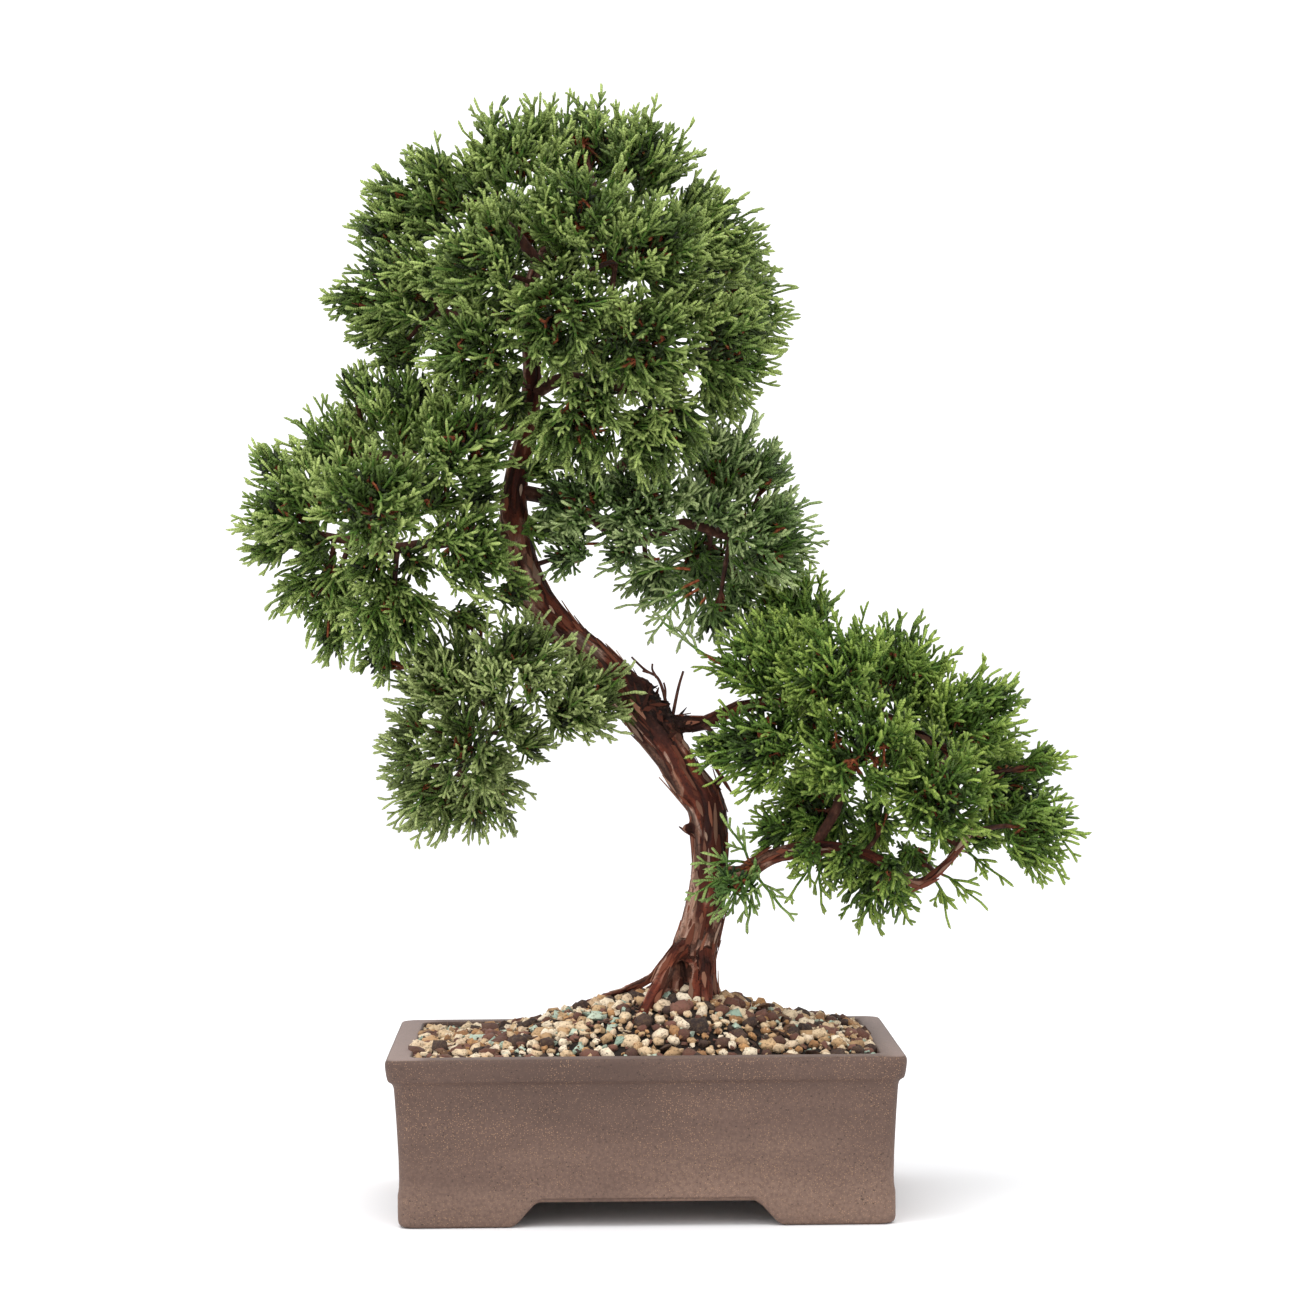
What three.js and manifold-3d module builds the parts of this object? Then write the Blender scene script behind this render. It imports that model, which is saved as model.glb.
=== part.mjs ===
// A Chinese juniper bonsai with the clay pot it grows in.
// Millimetres, +Z up, +X to the viewer's right, +Y away from the viewer.
// All places below are measured from the middle of the pot's footprint, on the floor.
// The finished group is then shifted so that its origin is the middle of the whole footprint.

import * as THREE from 'three';
import { mergeVertices } from 'three/addons/utils/BufferGeometryUtils.js';
import Module from 'manifold-3d';

const wasm = await Module();
wasm.setup();

// Driving dimensions: the pot
const POT_HALF_X = 115;
const POT_HALF_Y = 80.5;
const POT_HEIGHT = 75;
const RIM_BAND = 8.5;
const RIM_OVERHANG = 3.7;
const RIM_WIDTH = 10.4;
const WALL_BATTER = 2.1;
const FOOT_SWELL = 0.8;
const FOOT_BAND = 14;
const FOOT_DEPTH = 9.6;
const FOOT_HEIGHT = 11;
const FLOOR_TOP = 18;
const FLOOR_INSET = 15;
const CORNER_RADIUS = 6;
const CORNER_STEPS = 3;
const EDGE_SOFTENING = 1;
const LONG_ARCH_HALF = 48;
const SHORT_ARCH_HALF = 26;
const ARCH_FLARE = 12.5;
const ARCH_SHOULDER = 6;
const ARCH_ROUNDING = 3;
const CUT_MARGIN = 5;
const DRAIN_RADIUS = 8;
const DRAIN_SPACING = 104;

// Driving dimensions: the drainage screens
const SCREEN_SIZE = 32;
const SCREEN_THICKNESS = 1.2;
const SCREEN_HOLES = 3;
const SCREEN_HOLE = 3.2;
const SCREEN_PITCH = 4.8;

// Driving dimensions: the soil and its gravel
const SEAT_GAP = 0.3;
const ROOT_GAP = 0.4;
const WALL_GAP = 0.5;
const SOIL_EDGE = 71;
const PEBBLE_COLUMNS = 17;
const PEBBLE_ROWS = 11;
const PEBBLE_RISE = 2.6;
const PEBBLE_WANDER = 0.3;
const PEBBLE_SHARE = [0.56, 0.72];
const PEBBLE_TILT = 0.12;
const SEAM_DEPTH = 1.4;
const MOUND_POWER = 2.2;
const SOIL_CREST = [
  [-104, 73],
  [-60, 77],
  [-44, 83],
  [-20, 90],
  [0, 94],
  [22, 97],
  [42, 92],
  [67, 85],
  [90, 79],
  [104, 73],
];

// Driving dimensions: the wood. Each point is [x, y, z, radius].
const TRUNK_SIDES = 8;
const TRUNK_STEPS = 30;
const LIMB_SIDES = 4;
const TWIG_SIDES = 3;
const TWIG_RADIUS = 1.5;
const TWIG_STEPS = 8;
const LOWEST_TWIG = 10;
const CROSSING_PENALTY = 1000;
const RIB_MARGIN = 1.12;
const TRUNK = [
  [23, 0, 66, 12],
  [23, 0, 84, 14],
  [23, 0, 103, 11],
  [24, 0, 115, 10.9],
  [28, -1, 130, 9.8],
  [30, -2, 145, 8.8],
  [31, -3, 163, 8.3],
  [29, -4, 182, 8.8],
  [20, -4, 195, 8.5],
  [12, -3, 209, 8.6],
  [3, -1, 221, 9.4],
  [-7, 2, 234, 9.2],
  [-19, 4, 247, 8.5],
  [-34, 6, 260, 8.1],
  [-47, 6, 276, 7.9],
  [-54, 5, 293, 7.6],
  [-57, 4, 308, 7.6],
  [-58, 3, 322, 6.5],
  [-56, 2, 336, 5.8],
  [-51, 1, 356, 5.1],
  [-49, 3, 380, 4.6],
  [-50, 6, 404, 4.1],
  [-48, 7, 426, 3.5],
  [-40, 8, 440, 3],
];
const LIMBS = {
  lowRight: [
    [30, -3, 151, 5.2], [44, -10, 150, 4.6], [59, -18, 159, 4], [78, -24, 163, 3.6],
    [96, -28, 162, 3], [112, -30, 155, 2.6], [124, -30, 147, 2.4], [137, -28, 155, 2.2],
    [150, -24, 170, 2],
  ],
  lowRightInner: [[78, -24, 163, 2.6], [90, -16, 186, 2.2], [92, -4, 204, 1.9]],
  midRight: [
    [14, -2, 218, 4.4], [29, 2, 219, 3.6], [46, 4, 226, 3.2], [69, 4, 229, 2.8],
    [91, -2, 229, 2.4], [115, -6, 221, 2.1], [135, -6, 209, 1.9], [151, -6, 195, 1.7],
  ],
  midLeft: [
    [-57, 4, 303, 4], [-69, -2, 305, 3.6], [-81, -4, 305, 3.2], [-93, -4, 303, 2.9],
    [-111, -2, 301, 2.6], [-133, 2, 304, 2.2], [-147, 4, 307, 1.9],
  ],
  upperLeft: [
    [-54, 1, 352, 3.4], [-69, -2, 360, 2.9], [-83, 0, 355, 2.6], [-101, 2, 346, 2.3],
    [-123, 6, 342, 1.9],
  ],
  lowLeft: [
    [-34, 6, 260, 3.6], [-46, 2, 258, 3.2], [-65, 2, 251, 2.8], [-75, 6, 235, 2.5],
    [-80, 8, 214, 2.2], [-83, 10, 197, 1.8],
  ],
  backRight: [
    [-57, 2, 327, 3.8], [-37, 12, 322, 3.4], [-23, 22, 315, 3.2], [-3, 28, 304, 2.9],
    [21, 32, 311, 2.5], [43, 30, 306, 2.1],
  ],
  backRightUpper: [[-23, 22, 315, 3], [-6, 32, 340, 2.4], [14, 34, 358, 2]],
  crownRight: [
    [-50, 2, 370, 3.4], [-32, -4, 378, 3], [-9, -6, 373, 2.6], [12, -6, 376, 2.2],
    [28, -4, 390, 1.9],
  ],
  crownBack: [[-49, 4, 391, 3.2], [-43, 24, 402, 2.8], [-29, 32, 414, 2.3], [-3, 32, 413, 2]],
  crownLeft: [[-50, 4, 400, 3], [-66, 2, 406, 2.6], [-84, 4, 406, 2.2], [-93, 2, 411, 1.9]],
  topRight: [[-44, 8, 437, 2.8], [-22, 4, 442, 2.5], [-4, 2, 443, 2.2], [18, 2, 437, 1.9]],
  topLeft: [[-46, 7, 431, 2.8], [-61, 4, 449, 2.4], [-73, 4, 456, 2]],
  top: [[-40, 8, 440, 2.6], [-29, 6, 458, 2.2], [-15, 4, 464, 1.8]],
  crownFront: [[-50, 6, 412, 2.8], [-43, -14, 417, 2.4], [-31, -24, 421, 2]],
};
const ROOTS = [
  [
    [18, -8, 116, 4.6], [11, -14, 108, 4], [5, -22, 98, 3.5], [-1, -32, 89, 3],
    [-6, -42, 83, 2.4], [-9, -51, 74, 1.8],
  ],
  [[22, -5, 112, 4.4], [22.5, -12, 106, 3.4], [22.5, -18, 100, 3], [24, -28, 84, 2.2]],
  [[27, -3, 119, 4.6], [27.5, -9, 112, 4.2], [28, -17, 99, 3.4], [29, -25, 84, 2.4]],
  [
    [15, 2, 112, 4.2], [10, 3, 107, 3.6], [3, 6, 101, 3.2], [-10, 12, 95, 2.8],
    [-24, 16, 90, 2.4], [-38, 20, 84, 2], [-48, 22, 74, 1.6],
  ],
  [[27, 6, 108, 4.6], [31, 16, 98, 3.4], [34, 28, 84, 2.4]],
  [[20, 7, 108, 4.8], [15, 20, 98, 3.6], [10, 34, 84, 2.4]],
];
const BURL_AND_KNOTS = [
  [8, -2, 224, 8.2],
  [13, 2, 217, 6.4],
  [0, -1, 234, 6.4],
  [20.5, -8, 171, 3],
  [20, -10, 186, 3.4],
  [25, -6, 116, 4.2],
];
const SPURS = [
  [[31, -3, 188, 2.6], [35, -2, 192, 1.8], [38, -2, 195, 0.9]],
  [[12, 2, 220, 1.1], [10.5, 2, 231, 0.9], [7, 1, 237, 0.8], [4.5, 0, 245, 0.6]],
  [[12, 2, 220, 1.1], [15.5, 2, 234, 0.8], [19.5, 3, 243, 0.6]],
];

// Driving dimensions: the foliage. Each tuft is [x, y, z, radius], from its middle to its tips.
const CORE_SHARE = 0.52;
const CORE_SIDES = 7;
const CORE_RINGS = [
  [-0.56, 0.8],
  [0.04, 1],
  [0.6, 0.76],
];
const CORE_WOBBLE = 0.07;
const SPRAY_REACH = [0.84, 1];
const SHOOT_REACH = [0.98, 1.1];
const SHOOT_SHARE = 0.14;
const SHOOT_THICKNESS = 2.4;
const SLIM_FOOT = SHOOT_THICKNESS / Math.sqrt(3);
const SHOOT_LIFT = 0.16;
const SHOOT_SPREAD = 0.17;
const SHOOT_CLEARANCE = 0.35;
const SHORTEST_SHOOT = 5;
const SHARED_FOOT = 0.3;
const TIP_RADIUS = 0.2;
const SHOOT_TRIES = 16;
const TWIG_CLEARANCE = 1.5;
const FOLIAGE = {
  crown: {
    colour: 0x44702e,
    tufts: [
      [-57, -18, 480, 29], [-23, 22, 487, 29], [7, -16, 478, 28], [-27, -48, 449, 31],
      [-99, 6, 458, 30], [-112, -8, 419, 31], [-72, -44, 429, 31], [34, -4, 437, 31],
      [9, -46, 432, 31], [-35, -58, 400, 31], [40, -30, 388, 29], [3, -54, 390, 30],
      [-74, -42, 387, 29], [-60, 46, 448, 32], [-8, 50, 446, 32], [-94, 46, 418, 31],
      [48, 40, 410, 31], [-12, 54, 395, 32], [-28, -44, 354, 29],
      [9, -36, 352, 28],
    ],
  },
  left: {
    colour: 0x3f6c2c,
    tufts: [
      [-108, -6, 364, 30], [-140, 14, 351, 28], [-160, -6, 321, 28], [-120, -48, 321, 31],
      [-79, -44, 348, 30], [-77, -40, 300, 28], [-146, 8, 282, 27], [-114, -16, 268, 28],
      [-124, 48, 325, 32],
    ],
  },
  lower_left: {
    colour: 0x466f38,
    tufts: [
      [-91, -6, 242, 29], [-55, -34, 249, 28], [-24, -25, 233, 24], [-79, -16, 209, 27],
      [-99, 17, 186, 25], [-67, 10, 184, 25],
    ],
  },
  right: {
    colour: 0x3c6238,
    tufts: [
      [0, -4, 322, 29], [42, 30, 338, 30], [59, 12, 305, 30], [31, 56, 294, 28],
      [7, 26, 281, 23], [-31, -12, 322, 24],
    ],
  },
  lower_right: {
    colour: 0x3f7a24,
    tufts: [
      [56, -14, 248, 29], [86, -44, 245, 30], [119, -2, 244, 30], [149, -18, 220, 29],
      [169, 6, 188, 29], [171, -30, 165, 26], [52, -38, 212, 29], [97, -56, 208, 31],
      [133, -50, 188, 29], [80, 2, 178, 29], [109, 0, 146, 24], [70, 30, 268, 28],
      [134, 38, 197, 30],
    ],
  },
  trunk_sprig: {
    colour: 0x4b8032,
    tufts: [[41, -37, 148, 20]],
  },
};

// The middle of the whole footprint, seen from the middle of the pot
const FOOTPRINT_MIDDLE_X = 4;
const FOOTPRINT_MIDDLE_Y = -1.1;

const SEED = 20931;

// A seeded random number from 0 to 1
function seededRandom(seed) {
  let state = seed;
  return () => {
    state = (state + 0x6d2b79f5) | 0;
    let mixed = Math.imul(state ^ (state >>> 15), 1 | state);
    mixed = (mixed + Math.imul(mixed ^ (mixed >>> 7), 61 | mixed)) ^ mixed;
    return ((mixed ^ (mixed >>> 14)) >>> 0) / 4294967296;
  };
}

const random = seededRandom(SEED);

function between(low, high) {
  return low + (high - low) * random();
}

// A closed mesh from a list of corners and a list of triangles
function meshOf(corners, triangles) {
  const geometry = new THREE.BufferGeometry();
  const positions = corners.flatMap((corner) => [corner.x, corner.y, corner.z]);
  geometry.setAttribute('position', new THREE.Float32BufferAttribute(positions, 3));
  geometry.setIndex(triangles.flat());
  return geometry;
}

// A closed skin through rings of equally many points, each turning the same way, with flat ends
function loft(rings) {
  const count = rings[0].length;
  const corners = rings.flat();
  const triangles = [];
  for (let ring = 0; ring + 1 < rings.length; ring += 1) {
    for (let k = 0; k < count; k += 1) {
      const next = (k + 1) % count;
      const a = ring * count + k;
      const b = ring * count + next;
      const c = (ring + 1) * count + next;
      const d = (ring + 1) * count + k;
      triangles.push([a, b, c], [a, c, d]);
    }
  }
  const last = (rings.length - 1) * count;
  for (let k = 1; k + 1 < count; k += 1) {
    triangles.push([0, k + 1, k], [last, last + k, last + k + 1]);
  }
  return meshOf(corners, triangles);
}

function solidOf(geometry) {
  const bare = geometry.clone();
  bare.deleteAttribute('normal');
  bare.deleteAttribute('uv');
  const merged = mergeVertices(bare, 1e-4);
  return new wasm.Manifold(
    new wasm.Mesh({
      numProp: 3,
      vertProperties: new Float32Array(merged.attributes.position.array),
      triVerts: new Uint32Array(merged.index.array),
    }),
  );
}

function geometryOf(solid) {
  const mesh = solid.getMesh();
  const geometry = new THREE.BufferGeometry();
  geometry.setAttribute('position', new THREE.BufferAttribute(mesh.vertProperties, mesh.numProp));
  geometry.setIndex(new THREE.BufferAttribute(mesh.triVerts, 1));
  return geometry;
}

function join(geometries) {
  return geometries.map(solidOf).reduce((whole, piece) => whole.add(piece));
}

// The largest body of a solid, without the crumbs that a cut leaves
function largestBody(solid) {
  const bodies = solid.decompose();
  return bodies.reduce((best, body) => (body.volume() > best.volume() ? body : best));
}

// A rounded rectangle of points at height z, turning anticlockwise seen from above
function roundedRectangle(halfX, halfY, radius, z) {
  const points = [];
  for (let corner = 0; corner < 4; corner += 1) {
    const signX = corner === 0 || corner === 3 ? 1 : -1;
    const signY = corner < 2 ? 1 : -1;
    for (let step = 0; step <= CORNER_STEPS; step += 1) {
      const angle = (Math.PI / 2) * (corner + step / CORNER_STEPS);
      const x = signX * (halfX - radius) + radius * Math.cos(angle);
      const y = signY * (halfY - radius) + radius * Math.sin(angle);
      points.push(new THREE.Vector3(x, y, z));
    }
  }
  return points;
}

// The pot's outline is a rectangle pulled in from the rim by inset
function potRing(inset, z, radius = CORNER_RADIUS) {
  return roundedRectangle(POT_HALF_X - inset, POT_HALF_Y - inset, radius, z);
}

// An arch between two feet: flat on top, with sides that sweep out to the floor
function archCut(halfWidth, reach, along) {
  const shape = new THREE.Shape();
  const foot = halfWidth + ARCH_FLARE;
  const middle = halfWidth + ARCH_SHOULDER;
  const sweep = foot - ARCH_SHOULDER + 1;
  const bend = halfWidth + ARCH_ROUNDING;
  const shoulder = FOOT_HEIGHT * 0.45;
  const crown = FOOT_HEIGHT * 0.95;
  shape.moveTo(-foot, -CUT_MARGIN);
  shape.lineTo(foot, -CUT_MARGIN);
  shape.lineTo(foot, 0);
  shape.quadraticCurveTo(sweep, 1, middle, shoulder);
  shape.quadraticCurveTo(bend, crown, halfWidth, FOOT_HEIGHT);
  shape.lineTo(-halfWidth, FOOT_HEIGHT);
  shape.quadraticCurveTo(-bend, crown, -middle, shoulder);
  shape.quadraticCurveTo(-sweep, 1, -foot, 0);
  const geometry = new THREE.ExtrudeGeometry(shape, {
    depth: 2 * reach,
    bevelEnabled: false,
    curveSegments: 3,
  });
  geometry.rotateX(Math.PI / 2);
  geometry.translate(0, reach, 0);
  if (along === 'x') {
    geometry.rotateZ(Math.PI / 2);
  }
  return solidOf(geometry);
}

function drainHole(x) {
  const hole = new THREE.CylinderGeometry(DRAIN_RADIUS, DRAIN_RADIUS, 2 * FLOOR_TOP, 16);
  hole.rotateX(Math.PI / 2);
  hole.translate(x, 0, FLOOR_TOP);
  return solidOf(hole);
}

function pot() {
  const rimFoot = POT_HEIGHT - RIM_BAND;
  const neck = RIM_OVERHANG;
  const waist = RIM_OVERHANG + WALL_BATTER;
  const body = loft([
    potRing(waist - FOOT_SWELL + EDGE_SOFTENING, 0),
    potRing(waist - FOOT_SWELL, 1.2),
    potRing(waist - FOOT_SWELL, FOOT_BAND - 1),
    potRing(waist, FOOT_BAND + 1.5),
    potRing(neck + WALL_BATTER * 0.7, 38),
    potRing(neck, rimFoot - 4),
    potRing(neck - 1.2, rimFoot - 3.2),
    potRing(0, rimFoot),
    potRing(0, POT_HEIGHT - EDGE_SOFTENING),
    potRing(EDGE_SOFTENING, POT_HEIGHT),
    potRing(RIM_WIDTH, POT_HEIGHT),
    potRing(RIM_WIDTH + EDGE_SOFTENING, POT_HEIGHT - EDGE_SOFTENING),
    potRing(FLOOR_INSET, FLOOR_TOP),
  ]);
  const footInset = waist + FOOT_DEPTH;
  const hollow = loft([potRing(footInset, -CUT_MARGIN), potRing(footInset, FOOT_HEIGHT)]);
  const cuts = [
    solidOf(hollow),
    archCut(LONG_ARCH_HALF, POT_HALF_Y + CUT_MARGIN, 'y'),
    archCut(SHORT_ARCH_HALF, POT_HALF_X + CUT_MARGIN, 'x'),
    drainHole(-DRAIN_SPACING / 2),
    drainHole(DRAIN_SPACING / 2),
  ];
  return geometryOf(cuts.reduce((whole, cut) => whole.subtract(cut), solidOf(body)));
}

// A plastic screen over a drain hole: a square sheet with square holes in its middle
function drainScreen() {
  const sheet = new THREE.BoxGeometry(SCREEN_SIZE, SCREEN_SIZE, SCREEN_THICKNESS);
  let screen = solidOf(sheet);
  const first = (-(SCREEN_HOLES - 1) / 2) * SCREEN_PITCH;
  for (let row = 0; row < SCREEN_HOLES; row += 1) {
    for (let column = 0; column < SCREEN_HOLES; column += 1) {
      const hole = new THREE.BoxGeometry(SCREEN_HOLE, SCREEN_HOLE, 2 * SCREEN_THICKNESS);
      hole.translate(first + column * SCREEN_PITCH, first + row * SCREEN_PITCH, 0);
      screen = screen.subtract(solidOf(hole));
    }
  }
  return geometryOf(screen);
}

// The height of the mound along its crest, from a smooth line through its points
function crestAt(x) {
  const last = SOIL_CREST.length - 1;
  let i = 0;
  while (i < last - 1 && SOIL_CREST[i + 1][0] < x) {
    i += 1;
  }
  const [x0, z0] = SOIL_CREST[i];
  const [x1, z1] = SOIL_CREST[i + 1];
  const t = THREE.MathUtils.clamp((x - x0) / (x1 - x0), 0, 1);
  return THREE.MathUtils.lerp(z0, z1, t);
}

function soilHeight(x, y, halfY) {
  const across = 1 - Math.pow(Math.min(Math.abs(y) / halfY, 1), MOUND_POWER);
  return SOIL_EDGE + (crestAt(x) - SOIL_EDGE) * across;
}

// How far the pot's inner wall stands in from the rim at height z
function innerInset(z) {
  const top = POT_HEIGHT - EDGE_SOFTENING;
  const t = (top - z) / (top - FLOOR_TOP);
  return THREE.MathUtils.lerp(RIM_WIDTH + EDGE_SOFTENING, FLOOR_INSET, t);
}

// Soil that fills the pot, its top raised into one flat-topped pebble for each cell of a loose grid
function soilBody() {
  const inset = innerInset(SOIL_EDGE) + WALL_GAP;
  const bottomInset = innerInset(FLOOR_TOP) + WALL_GAP;
  const halfX = POT_HALF_X - inset;
  const halfY = POT_HALF_Y - inset;
  const bottomScaleX = (POT_HALF_X - bottomInset) / halfX;
  const bottomScaleY = (POT_HALF_Y - bottomInset) / halfY;
  const corners = [];
  const triangles = [];
  const add = (x, y, z) => corners.push(new THREE.Vector3(x, y, z)) - 1;
  const lattice = [];
  for (let row = 0; row <= PEBBLE_ROWS; row += 1) {
    lattice.push([]);
    for (let column = 0; column <= PEBBLE_COLUMNS; column += 1) {
      const onSideX = column === 0 || column === PEBBLE_COLUMNS;
      const onSideY = row === 0 || row === PEBBLE_ROWS;
      const onSide = onSideX || onSideY;
      const wanderX = onSide ? 0 : between(-PEBBLE_WANDER, PEBBLE_WANDER);
      const wanderY = onSide ? 0 : between(-PEBBLE_WANDER, PEBBLE_WANDER);
      let x = halfX * ((2 * (column + wanderX)) / PEBBLE_COLUMNS - 1);
      let y = halfY * ((2 * (row + wanderY)) / PEBBLE_ROWS - 1);
      if (onSideX && onSideY) {
        const cut = CORNER_RADIUS * (1 - Math.SQRT1_2);
        x -= Math.sign(x) * cut;
        y -= Math.sign(y) * cut;
      }
      lattice[row].push(add(x, y, soilHeight(x, y, halfY) - (onSide ? 0 : SEAM_DEPTH)));
    }
  }
  for (let row = 0; row < PEBBLE_ROWS; row += 1) {
    for (let column = 0; column < PEBBLE_COLUMNS; column += 1) {
      const ring = [
        lattice[row][column],
        lattice[row][column + 1],
        lattice[row + 1][column + 1],
        lattice[row + 1][column],
      ];
      const middle = new THREE.Vector3();
      ring.forEach((k) => middle.addScaledVector(corners[k], 0.25));
      const share = between(...PEBBLE_SHARE);
      const rise = PEBBLE_RISE * between(0.4, 1.25);
      const tiltX = between(-PEBBLE_TILT, PEBBLE_TILT);
      const tiltY = between(-PEBBLE_TILT, PEBBLE_TILT);
      const top = ring.map((k) => {
        const out = corners[k].clone().sub(middle).multiplyScalar(share * between(0.88, 1.12));
        const z = middle.z + out.z + rise + out.x * tiltX + out.y * tiltY;
        return add(middle.x + out.x, middle.y + out.y, z);
      });
      for (let k = 0; k < 4; k += 1) {
        const next = (k + 1) % 4;
        triangles.push([ring[k], ring[next], top[next]], [ring[k], top[next], top[k]]);
      }
      triangles.push([top[0], top[1], top[2]], [top[0], top[2], top[3]]);
    }
  }
  const edge = [
    ...lattice[0],
    ...lattice.slice(1).map((row) => row[PEBBLE_COLUMNS]),
    ...lattice[PEBBLE_ROWS].slice(0, -1).reverse(),
    ...lattice.slice(1, -1).map((row) => row[0]).reverse(),
  ];
  const floor = FLOOR_TOP + SEAT_GAP;
  const foot = edge.map((k) => add(corners[k].x * bottomScaleX, corners[k].y * bottomScaleY, floor));
  edge.forEach((k, i) => {
    const next = (i + 1) % edge.length;
    triangles.push([foot[i], foot[next], edge[next]], [foot[i], edge[next], k]);
  });
  for (let i = 1; i + 1 < foot.length; i += 1) {
    triangles.push([foot[0], foot[i + 1], foot[i]]);
  }
  return meshOf(corners, triangles);
}

function screenPocket(x) {
  const size = SCREEN_SIZE + 2 * SEAT_GAP;
  const height = 2 * (SCREEN_THICKNESS + 2 * SEAT_GAP);
  const pocket = new THREE.BoxGeometry(size, size, height);
  pocket.translate(x, 0, FLOOR_TOP);
  return solidOf(pocket);
}

// A tapered tube along a path of [x, y, z, radius]; flute gives each side's share of the radius
function tube(path, sides, { grow = 0, flute = () => 1 } = {}) {
  const centres = path.map(([x, y, z]) => new THREE.Vector3(x, y, z));
  const turn = new THREE.Vector3(1, 0.2, 0.1);
  const rings = centres.map((centre, i) => {
    const before = centres[Math.max(i - 1, 0)];
    const after = centres[Math.min(i + 1, centres.length - 1)];
    const along = after.clone().sub(before).normalize();
    turn.addScaledVector(along, -turn.dot(along)).normalize();
    const across = along.clone().cross(turn);
    return Array.from({ length: sides }, (_, k) => {
      const angle = (2 * Math.PI * k) / sides;
      const radius = path[i][3] * flute(angle, i) + grow;
      return centre
        .clone()
        .addScaledVector(turn, radius * Math.cos(angle))
        .addScaledVector(across, radius * Math.sin(angle));
    });
  });
  return loft(rings);
}

// A path of more points, on a smooth curve through the given ones
function smoothPath(path, steps) {
  const curve = new THREE.CatmullRomCurve3(path.map(([x, y, z]) => new THREE.Vector3(x, y, z)));
  return Array.from({ length: steps + 1 }, (_, i) => {
    const t = i / steps;
    const point = curve.getPoint(t);
    const at = t * (path.length - 1);
    const from = Math.min(Math.floor(at), path.length - 2);
    const radius = THREE.MathUtils.lerp(path[from][3], path[from + 1][3], at - from);
    return [point.x, point.y, point.z, radius];
  });
}

// The trunk isn't round: shallow ribs run up it and drift round it
function trunkFlute(angle, ring) {
  return 1 + 0.07 * Math.sin(3 * angle + ring * 0.32) + 0.05 * Math.sin(5 * angle - ring * 0.2);
}

// A faceted lump, turned by its own place so that no two look alike
function lump([x, y, z, radius]) {
  const geometry = new THREE.IcosahedronGeometry(radius, 0);
  geometry.rotateX(x);
  geometry.rotateY(z);
  geometry.translate(x, y, z);
  return geometry;
}

// What stands in the soil, made thicker by grow: the trunk's foot and the roots
function rootedWood(grow) {
  const foot = tube(smoothPath(TRUNK, TRUNK_STEPS), TRUNK_SIDES, { grow, flute: trunkFlute });
  const roots = ROOTS.map((path) => tube(path, LIMB_SIDES, { grow }));
  return join([foot, ...roots]);
}

const TUFTS = Object.entries(FOLIAGE).flatMap(([pad, { colour, tufts }]) =>
  tufts.map(([x, y, z, radius], i) => ({
    name: `${pad}_tuft_${String(i + 1).padStart(2, '0')}`,
    colour,
    centre: new THREE.Vector3(x, y, z),
    top: new THREE.Vector3(x, y, z + 0.01),
    radius,
    core: radius * CORE_SHARE,
  })),
);

// Stretches of wood as [start, end, start radius, end radius], to keep shoots clear of them
const WOOD_STRETCHES = [];

function noteStretches(path) {
  for (let i = 0; i + 1 < path.length; i += 1) {
    const [x0, y0, z0, r0] = path[i];
    const [x1, y1, z1, r1] = path[i + 1];
    const start = new THREE.Vector3(x0, y0, z0);
    const end = new THREE.Vector3(x1, y1, z1);
    const startRadius = r0 * RIB_MARGIN;
    const endRadius = r1 * RIB_MARGIN;
    WOOD_STRETCHES.push({ start, end, startRadius, endRadius });
  }
}

function distanceToStretch(point, start, end) {
  const nearest = new THREE.Vector3();
  new THREE.Line3(start, end).closestPointToPoint(point, true, nearest);
  return nearest.distanceTo(point);
}

// A twig runs to each tuft from the nearest wood that it can leave without crossing another tuft
function twigTo(tuft) {
  const starts = Object.values(LIMBS).concat([TRUNK.slice(LOWEST_TWIG)]);
  let best = null;
  starts.forEach((limb) => {
    for (let i = 0; i + 1 < limb.length; i += 1) {
      for (let step = 0; step <= TWIG_STEPS; step += 1) {
        const t = step / TWIG_STEPS;
        const from = new THREE.Vector3(...limb[i]).lerp(new THREE.Vector3(...limb[i + 1]), t);
        const length = from.distanceTo(tuft.centre);
        const direction = tuft.centre.clone().sub(from).normalize();
        const seat = tuft.centre.clone().addScaledVector(direction, -tuft.core);
        const clear = TUFTS.every((other) => {
          const room = other.core + TWIG_RADIUS + TWIG_CLEARANCE;
          return other === tuft || distanceToStretch(other.centre, from, seat) > room;
        });
        const score = length + (clear ? 0 : CROSSING_PENALTY);
        if (length > tuft.core + 2 && (best === null || score < best.score)) {
          best = { score, from, direction, seat };
        }
      }
    }
  });
  return best;
}

function twigPath({ from, direction, seat }) {
  const end = seat.clone().addScaledVector(direction, -SEAT_GAP);
  return [
    [from.x, from.y, from.z, TWIG_RADIUS * 1.2],
    [end.x, end.y, end.z, TWIG_RADIUS * 0.8],
  ];
}

function wood() {
  const twigs = TUFTS.map((tuft) => {
    tuft.twig = twigTo(tuft);
    return twigPath(tuft.twig);
  });
  [TRUNK, ...Object.values(LIMBS), ...ROOTS, ...SPURS, ...twigs].forEach(noteStretches);
  BURL_AND_KNOTS.forEach(([x, y, z, r]) => noteStretches([[x, y, z, r], [x, y, z + 0.1, r]]));
  return rootedWood(0)
    .add(join(Object.values(LIMBS).map((path) => tube(path, LIMB_SIDES))))
    .add(join(SPURS.map((path) => tube(path, TWIG_SIDES))))
    .add(join(BURL_AND_KNOTS.map(lump)))
    .add(join(twigs.map((path) => tube(path, TWIG_SIDES))));
}

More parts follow.
